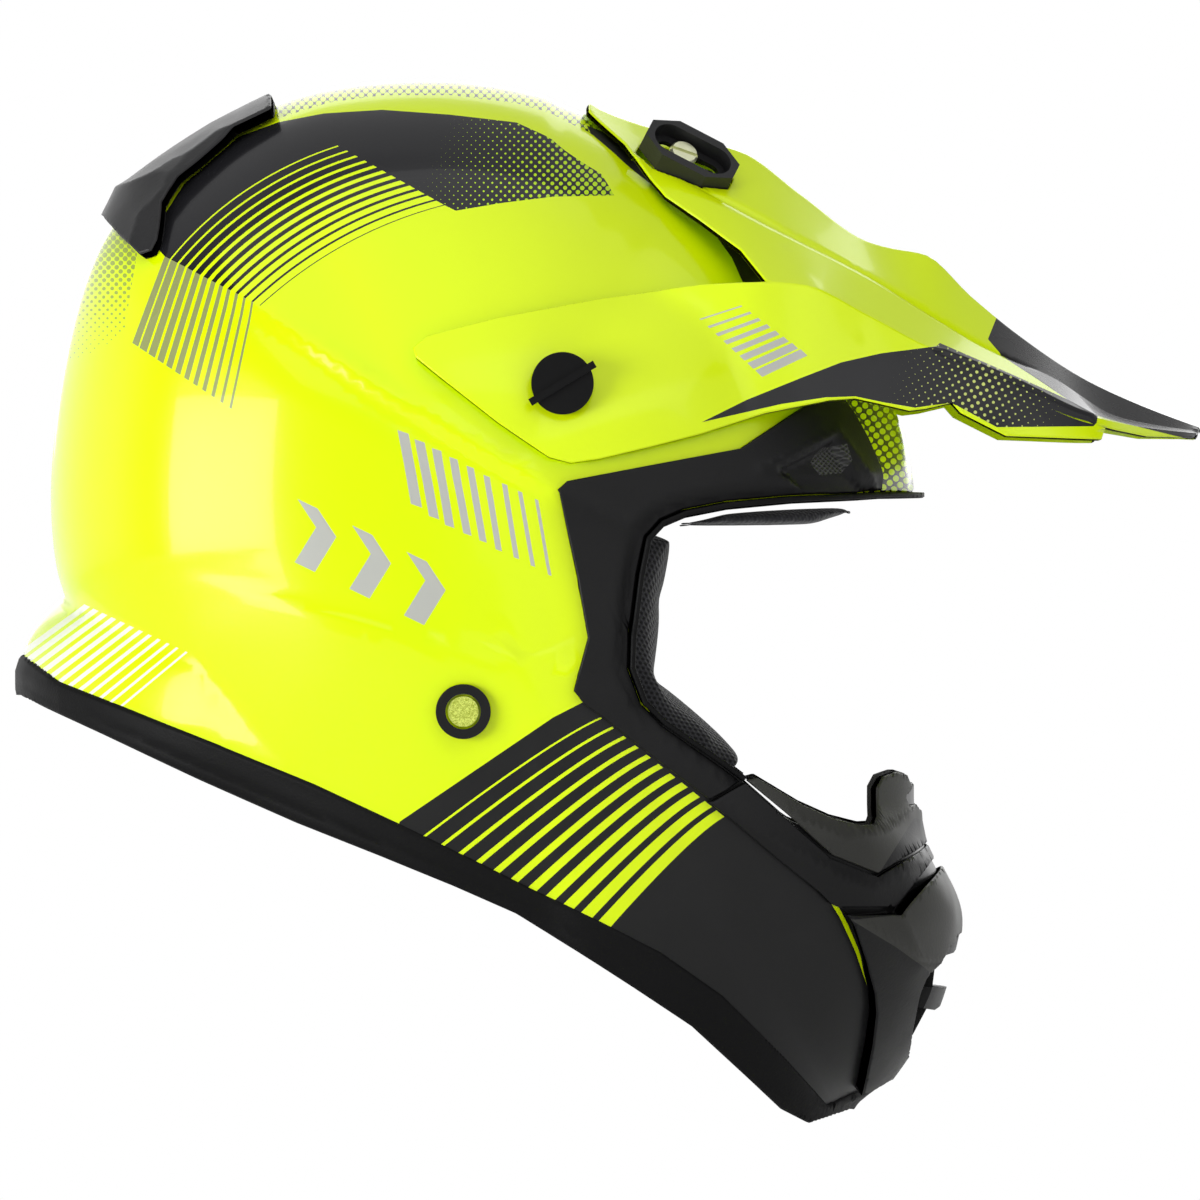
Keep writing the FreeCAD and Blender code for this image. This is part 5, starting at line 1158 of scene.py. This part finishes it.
class VisorSurf:
    """Visor arch: u is x in mm, v runs from the centre plane (0) over ridge (1), groove (2) and crease (3) to the lower edge (4), times KV."""
    seam = 0.0
    step = 3.0

    def keys(self, x):
        zt, zg, zc, zl = Z_TOP(x), Z_GROOVE(x), Z_CREASE(x), Z_LOW(x)
        return [np.zeros_like(x), Y_RIDGE(x), Y_GROOVE(x), Y_CREASE(x), Y_LOW(x)], [zt, zt - 0.6, zg, zc, zl]

    def uv(self, pts):
        if isinstance(pts, np.ndarray):
            return pts
        a = np.array(pts, float)
        x, z = a[:, 0], a[:, 1]
        ys, zs = self.keys(x)
        t = np.zeros(len(x))
        for i in range(len(x)):
            zz = [float(q[i]) for q in zs]
            if z[i] > zz[0]:
                t[i] = -(z[i] - zz[0]) / 5.0 - 0.02
            elif z[i] < zz[4]:
                t[i] = 4 + (zz[4] - z[i]) / 10.0
            else:
                t[i] = float(np.interp(-z[i], [-q for q in zz], [0, 1, 2, 3, 4]))
        return np.stack([x, t * KV], -1)

    def full(self, u, v):
        u, v = np.asarray(u, float), np.asarray(v, float)
        ys, zs = self.keys(u)
        t = np.clip(np.abs(v) / KV, 0, 4)
        k = np.minimum(np.floor(t).astype(int), 3)
        f = t - k
        Y, Z = np.stack(ys, -1), np.stack(zs, -1)
        ii = np.arange(len(u)) if u.ndim else 0
        y = Y[ii, k] * (1 - f) + Y[ii, k + 1] * f
        z = Z[ii, k] * (1 - f) + Z[ii, k + 1] * f
        lift = half(u, z) + 5.15
        on = (half(u, z) > 0) & (t > 1.3)
        y = np.where(on, 0.5 * (y + lift + np.sqrt((y - lift) ** 2 + 9.0)), y)
        # moulded rib pair beside the lower crease near the front, and a shallow step behind the groove
        r = sstep(u, RIB0, RIB0 + 4) * sstep(u, RIB1, RIB1 - 3)
        up = r * (1.1 * np.exp(-((t - 3.10) / 0.035) ** 2) + 1.1 * np.exp(-((t - 2.93) / 0.03) ** 2) - 0.8 * np.exp(-((t - 3.015) / 0.03) ** 2))
        gr = -0.9 * np.exp(-((t - 2.0) / 0.03) ** 2) * sstep(u, 62.0, 82.0) * sstep(u, 195.0, 180.0)
        z = z + up * 0.8 + gr
        y = y + np.where(t > 1.5, up * 0.5, 0.0)
        return np.stack([u, -np.where(v < 0, -y, y), z], -1)

    def point(self, u, v):
        p = self.full(u, v)
        e = 0.25
        a = self.full(u + e, v) - self.full(u - e, v)
        c = self.full(u, v + e) - self.full(u, v - e)
        n = np.cross(a, c)
        ref = p - np.stack([u, 0 * u, Z_LOW(u) - 60.0], -1)
        n = n * np.where((n * ref).sum(-1) < 0, -1.0, 1.0)[:, None]
        on = np.abs(v) < 1e-6
        n[on, 1] = 0.0
        p[on, 1] = 0.0
        n /= np.maximum(np.linalg.norm(n, axis=-1, keepdims=True), 1e-12)
        return p, n

    def seam_points(self):
        return [(float(x), 0.0) for x in np.arange(20.0, 262.0, 2.0)]

    def on_seam(self, pv):
        return np.abs(pv[:, 1]) < 1e-5

    def inside(self, c):
        return c[:, 1] > 0

    def box(self):
        return (-40.0, 0.0, 256.0, 4 * KV)


def vline(t, x0, x1, step=3.0):
    xs = np.arange(x0, x1, step)
    return np.stack([xs, np.full(len(xs), t * KV)], -1)


vis = VisorSurf()
# black lower graphic and tip; 0 yellow, 1 print, 2 ink, 3 grey; the bezel hole is cut out
vreg = []
vreg.append(([(76.1, 31.0), (91.7, 38.8), (110.7, 46.5), (124.6, 51.9), (138.6, 55.1), (152.5, 56.9), (157.7, 57.6), (158.9, 58.8), (180.9, 49.3), (214.1, 34.6), (213.5, 31.1), (212.3, 29.9), (178.6, 29.5), (170.4, 33.9), (162.8, 38.0), (156.4, 37.1), (150.1, 36.2), (138.9, 38.1), (129.3, 40.1), (118.9, 39.7), (103.8, 37.4)], 1))
xt = [x for x, z in [(185.4, 179.5), (180.9, 179.5), (176.0, 179.5), (184.4, 179.5), (201.2, 179.5), (215.9, 179.5), (244.3, 179.5), (248.8, 179.5), (256.2, 179.5)]]
vreg.append((np.array([(xt[0], -2.0), (xt[0], 0.5), (xt[1], 20.0), (xt[2], 60.0), (xt[3], 74.0), (xt[4], 88.0), (xt[5], 96.0), (xt[6], 110.0), (xt[7], 112.0), (xt[8], 100.0), (xt[8], -2.0)]), 2))
la_, lb_ = [(75.6, 66.7), (95.9, 47.9)]
ra_, rb_ = [(90.1, 71.4), (111.6, 55.3)]
for j in range(8):
    k = j / 7.0
    w_ = (1.6 + 7.6 * k) * 0.35 / 2
    a, c = lerp(la_, lb_, k), lerp(ra_, rb_, k)
    dx, dz = (lb_[0] - la_[0]), (lb_[1] - la_[1])
    l_ = math.hypot(dx, dz)
    ox, oz = dx / l_ * w_, dz / l_ * w_
    vreg.append(([(a[0] - ox, a[1] - oz), (a[0] + ox, a[1] + oz), (c[0] + ox, c[1] + oz), (c[0] - ox, c[1] - oz)], 3))

PIV = (28.0, 44.4)
seatp = np.array([[(69.6, 124.2)][0][0], -47.0, [(69.6, 124.2)][0][1]])
rx, rz = seatp[0] - PIV[0], seatp[2] - PIV[1]
rl = math.hypot(rx, rz)
that = np.array([rz / rl, 0.0, -rx / rl])
nrm_s = np.array([rx / rl * math.cos(math.radians(45)), -math.sin(math.radians(45)), rz / rl * math.cos(math.radians(45))])
sidev = np.cross(nrm_s, that)
mid = seatp + that * 2.2


def bez_outline(l, w, c):
    return [(-l, -w + c), (-l + c * 1.5, -w), (l - c * 1.5, -w), (l, -w + c), (l, w - c), (l - c * 1.5, w), (-l + c * 1.5, w), (-l, w - c)]


hole = []
for a, b_ in dense(bez_outline(17.1, 9.6, 5.7), 2.0, True):
    q0 = mid + that * a + sidev * b_
    # meet the visor skin along the screw's axis
    best = None
    for tt in np.arange(-12, 12, 0.25):
        q = q0 + nrm_s * tt
        uv_ = vis.uv([(q[0], q[2])])[0]
        pnt = vis.full(np.array([uv_[0]]), np.array([uv_[1]]))[0]
        e_ = abs(pnt[1] - q[1]) if 0 < uv_[1] / KV < 3 else 99
        if best is None or e_ < best[0]:
            best = (e_, uv_)
    hole.append(best[1])
hole = np.array(hole)
visor = skin("visor_skin", vis, [VISOR], [hole], vreg, [vline(t, -28.0, 252.0) for t in (0.97, 1.0, 1.03, 1.96, 1.985, 2.0, 2.015, 2.04, 2.985, 3.0, 3.02)] + [vline(t, RIB0, RIB1, 2.0) for t in (2.87, 2.90, 2.93, 2.96, 3.05, 3.075, 3.10, 3.125, 3.15)],
             mats=[mat_yellow, mat_visor_print, mat_ink, mat_grey], thick=2.3, bevel=0.7, spacing=(3.4, 3.0), step=1.0, inner_mat=0)
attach(visor, "visor"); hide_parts("visor")




# =============================================================== CAD hardware: edges eased, materials
def ease(node, mat, width=0.25, segments=2, angle=35.0):
    o = NODES[node]
    o.data.materials.clear()
    o.data.materials.append(mat)
    if width > 0:
        md = o.modifiers.new("edge", "BEVEL")
        md.width = width * MM
        md.segments = segments
        md.limit_method = "ANGLE"
        md.angle_limit = math.radians(angle)
        md.harden_normals = False
    return o


for side in ("right", "left"):
    ease("visor_knob_" + side, mat_knob, 0.3)
    ease("visor_top_screw_" + side, mat_bright, 0.25)
    ease("strap_anchor_washer_" + side, mat_trim, 0.45, 3)
ease("visor_slot_bezels", mat_spoiler, 0.45, 3)
ease("strap_anchor_rivets", mat_speckle, 0.35, 3)
ease("threaded_inserts", mat_steel, 0.0)
ease("visor_spacers", mat_rubber, 0.2)
ease("d_ring_inner", mat_steel, 0.0)
ease("d_ring_outer", mat_steel, 0.0)
ease("mouth_vent_grille", mat_trim, 0.6, 3)
ease("mouth_vent_mesh", mat_screen, 0.0)
ease("impact_liner", mat_eps, 0.0)
ease("chin_bar_foam", mat_eps, 0.6, 2)


# =============================================================== webbing
def curve3(points, n):
    """Centripetal Catmull-Rom through the points, n samples a span."""
    p = [np.array(q, float) for q in points]
    p = [2 * p[0] - p[1]] + p + [2 * p[-1] - p[-2]]
    out, src = [], []
    for i in range(1, len(p) - 2):
        a, b_, c, d_ = p[i - 1:i + 3]
        t0 = 0.0
        t1 = t0 + max(np.linalg.norm(b_ - a), 1e-6) ** 0.5
        t2 = t1 + max(np.linalg.norm(c - b_), 1e-6) ** 0.5
        t3 = t2 + max(np.linalg.norm(d_ - c), 1e-6) ** 0.5
        for k in range(n):
            t = t1 + (t2 - t1) * k / n
            A1 = (t1 - t) / (t1 - t0) * a + (t - t0) / (t1 - t0) * b_
            A2 = (t2 - t) / (t2 - t1) * b_ + (t - t1) / (t2 - t1) * c
            A3 = (t3 - t) / (t3 - t2) * c + (t - t2) / (t3 - t2) * d_
            B1 = (t2 - t) / (t2 - t0) * A1 + (t - t0) / (t2 - t0) * A2
            B2 = (t3 - t) / (t3 - t1) * A2 + (t - t1) / (t3 - t1) * A3
            out.append((t2 - t) / (t2 - t1) * B1 + (t - t1) / (t2 - t1) * B2)
            src.append(i - 1 + k / n)
    out.append(p[-2])
    src.append(len(points) - 1.0)
    return np.array(out), np.array(src)


def ribbon(name, pts, across, width, thick, mat, n=6, weave=1.5):
    """Flat webbing with rounded selvedges and its weave in the UV map."""
    P, src = curve3(pts, n)
    ac = np.array([np.array(a, float) for a in across])
    U = np.stack([np.interp(src, range(len(ac)), ac[:, k]) for k in range(3)], -1)
    T = np.gradient(P, axis=0)
    T /= np.linalg.norm(T, axis=1)[:, None]
    U -= T * (U * T).sum(1)[:, None]
    U /= np.linalg.norm(U, axis=1)[:, None]
    Wn = np.cross(T, U)
    L = np.concatenate([[0], np.cumsum(np.linalg.norm(np.diff(P, axis=0), axis=1))])
    h, w_ = thick / 2, width / 2
    prof = []
    cols = 12
    for k in range(cols + 1):
        prof.append((-w_ + h + (width - 2 * h) * k / cols, h))
    for a in (60, 30, 0, -30, -60):
        prof.append((w_ - h + h * math.cos(math.radians(a)), h * math.sin(math.radians(a))))
    for k in range(cols + 1):
        prof.append((w_ - h - (width - 2 * h) * k / cols, -h))
    for a in (240, 210, 180, 150, 120):
        prof.append((-w_ + h + h * math.cos(math.radians(a)), h * math.sin(math.radians(a))))
    bm_ = bmesh.new()
    uvl = bm_.loops.layers.uv.new("weave")
    rings = []
    for p, u, w2 in zip(P, U, Wn):
        rings.append([bm_.verts.new(tuple((p + u * a + w2 * b_) * MM)) for a, b_ in prof])
    n_ = len(prof)
    for i in range(len(rings) - 1):
        for k in range(n_):
            k2 = (k + 1) % n_
            f = bm_.faces.new((rings[i][k], rings[i + 1][k], rings[i + 1][k2], rings[i][k2]))
            f.smooth = True
            vs = [(L[i] / weave, prof[k][0] / weave), (L[i + 1] / weave, prof[k][0] / weave), (L[i + 1] / weave, prof[k2][0] / weave), (L[i] / weave, prof[k2][0] / weave)]
            for lp_, uv_ in zip(f.loops, vs):
                lp_[uvl].uv = uv_
    for r_ in (rings[0], rings[-1]):
        f = bm_.faces.new(r_)
    bmesh.ops.recalc_face_normals(bm_, faces=bm_.faces)
    me = bpy.data.meshes.new(name)
    bm_.to_mesh(me)
    bm_.free()
    me.materials.append(mat)
    o = bpy.data.objects.new(name, me)
    scene.collection.objects.link(o)
    return o


def arr(*v):
    return np.array(v, float)


def on_wall(p, depth):
    return arr(p[0], -(float(half(p[0], p[1])) - depth), p[1])


strap_pts = [on_wall(p, 8.2) for p in [(-8.0, -64.4), (-4.2, -73.1), (0.3, -83.6), (5.9, -95.9), (11.5, -108.1)]]
strap_pts += [arr(x, y, z) for (x, z), y in zip([(17.8, -120.0), (26.9, -127.7), (34.3, -131.6), (36.8, -132.7), (36.8, -132.7)], (-88.0, -76.0, -64.0, -54.0, -44.0))]
u1 = arr(0.92, 0, 0.40)
across_ = [u1] * 5 + [arr(0.90, 0.1, 0.42), arr(0.90, 0.1, 0.43), arr(0.89, 0.05, 0.45), arr(0.88, 0, 0.46), arr(0.88, 0, 0.46)]
end_dir = strap_pts[-1] - strap_pts[-2]
end_dir /= np.linalg.norm(end_dir)
uu_e = across_[-1] - end_dir * across_[-1].dot(end_dir)
uu_e /= np.linalg.norm(uu_e)
ww_e = np.cross(end_dir, uu_e)
WD, ST, SW = 3.6, 1.8, 24.0
loop_len = 2 * WD + 1.4
loop_c = strap_pts[-1] + end_dir * (loop_len / 2 + ST * 0.5)
hh = WD / 2 + 0.4 + ST / 2
# right strap: down the wall, in under the jaw, round both ring bars and sewn back on itself
fold = [(-loop_len / 2 - 6.0, 0.0), (-loop_len / 2 - 2.2, hh * 0.75), (-loop_len / 2 + 1.2, hh), (loop_len / 2 - 1.2, hh), (loop_len / 2 + ST * 0.5 + 0.4, hh * 0.55), (loop_len / 2 + ST * 0.5 + 0.6, 0.0),
        (loop_len / 2 + ST * 0.5 + 0.4, -hh * 0.55), (loop_len / 2 - 1.2, -hh), (-loop_len / 2 + 1.2, -hh), (-loop_len / 2 - 3.0, -hh), (-loop_len / 2 - 9.0, -ST - 0.15), (-loop_len / 2 - 12.0, -ST - 0.12)]
rp = strap_pts[:-2] + [loop_c + end_dir * a + ww_e * b_ for a, b_ in fold]
ra = across_[:-2] + [uu_e] * len(fold)
o = ribbon("chin_strap_right_webbing", rp, ra, SW, ST, mat_web, n=5)
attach(o, "helmet"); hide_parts("chin_strap_right")
THREAD = [(98, -3.5), (44, -5.2), (30, -5.1), (21, -4.9), (15.5, -3.9), (12.4, -1.4), (11.4, 2.2), (11.6, 6.2), (14.0, 9.6), (19.0, 11.4), (28.0, 11.8), (42.0, 11.4), (54.0, 10.4)]
lp3 = [arr(p[0], -p[1], p[2]) for p in strap_pts[:7]] + [loop_c + end_dir * e_ + ww_e * n_ for e_, n_ in THREAD]
la3 = [u1] * 5 + [arr(0.90, -0.1, 0.42), arr(0.90, -0.1, 0.43)] + [uu_e] * len(THREAD)
o = ribbon("chin_strap_left_webbing", lp3, la3, SW, ST, mat_web, n=6)
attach(o, "helmet"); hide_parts("chin_strap_left")


# =============================================================== padded lining
def relaxed(me, times):
    pass


def pad(name, node, voxel, pressure, cap, inset, mat, slot, fill=0.7, frames=20, stiff=5.0, parent_body="helmet", pin=None):
    """Cover over foam: a remeshed copy set in from the solid, swollen by cloth pressure, its movement capped."""
    src = NODES[node]
    me = src.data.copy()
    o = bpy.data.objects.new(name, me)
    scene.collection.objects.link(o)
    o.matrix_world = src.matrix_world.copy()
    bpy.context.view_layer.update()
    me.transform(o.matrix_world)
    o.matrix_world = Matrix.Identity(4)
    for q in list(bpy.context.selected_objects):
        q.select_set(False)
    bpy.context.view_layer.objects.active = o
    o.select_set(True)
    lo0 = np.array([c_[:] for c_ in [me.vertices[i].co for i in range(len(me.vertices))]])
    lo_, hi_ = lo0.min(0), lo0.max(0)
    rm = o.modifiers.new("remesh", "REMESH")
    rm.mode = "VOXEL"
    rm.voxel_size = voxel * MM
    sm = o.modifiers.new("relax", "SMOOTH")
    sm.factor = 0.5
    sm.iterations = 6
    dp = o.modifiers.new("inset", "DISPLACE")
    dp.mid_level = 0.0
    dp.strength = -inset * MM
    deps = bpy.context.evaluated_depsgraph_get()
    ev = bpy.data.meshes.new_from_object(o.evaluated_get(deps))
    o.modifiers.clear()
    o.data = ev
    bpy.data.meshes.remove(me)
    start = np.array([tuple(v.co) for v in ev.vertices])
    cl = o.modifiers.new("cover", "CLOTH")
    cs = cl.settings
    cs.quality = 5
    cs.mass = 0.15
    cs.tension_stiffness = stiff
    cs.compression_stiffness = stiff
    cs.shear_stiffness = stiff
    cs.bending_stiffness = 0.5
    cs.use_pressure = True
    cs.uniform_pressure_force = pressure
    cs.effector_weights.gravity = 0.0
    cl.point_cache.frame_start, cl.point_cache.frame_end = 1, frames
    for fr in range(1, frames + 1):
        scene.frame_set(fr)
    deps = bpy.context.evaluated_depsgraph_get()
    e2 = o.evaluated_get(deps)
    m2 = e2.to_mesh()
    end = np.array([tuple(v.co) for v in m2.vertices])
    e2.to_mesh_clear()
    o.modifiers.clear()
    scene.frame_set(1)
    if len(end) == len(start) and np.isfinite(end).all():
        mv = end - start
        ln = np.linalg.norm(mv, axis=1)
        k = np.minimum(1.0, cap * MM / np.maximum(ln, 1e-9))
        end = start + mv * k[:, None]
    else:
        end = start
    end = np.clip(end, lo_ + 0.0002, hi_ - 0.0002)
    for v, p in zip(ev.vertices, end):
        v.co = p
    ev.update()
    ev.polygons.foreach_set("use_smooth", np.ones(len(ev.polygons), bool))
    ev.materials.clear()
    ev.materials.append(mat)
    sb = o.modifiers.new("sub", "SUBSURF")
    sb.levels = sb.render_levels = 1
    o.name = name
    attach(o, parent_body)
    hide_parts(node)
    return o


PADS = []
for args in (("cheek_pad_right_cover", "cheek_pad_right", 4.5, 4.0, 5.0, 2.4, mat_fabric, "fabric_black"),
             ("cheek_pad_left_cover", "cheek_pad_left", 4.5, 4.0, 5.0, 2.4, mat_fabric, "fabric_black"),
             ("neck_roll_cover", "neck_roll", 4.5, 4.0, 5.0, 1.6, mat_brushed, "fabric_black"),
             ("brow_pad_cover", "brow_pad", 4.0, 3.0, 5.0, 1.0, mat_brushed, "fabric_black"),
             ("comfort_liner_cover", "comfort_liner", 4.0, 3.0, 4.0, 1.2, mat_fabric, "fabric_black")):
    t_0 = time.time()
    PADS.append(pad(*args))
    print("PAD", args[0], len(PADS[-1].data.vertices), round(time.time() - t_0, 1))
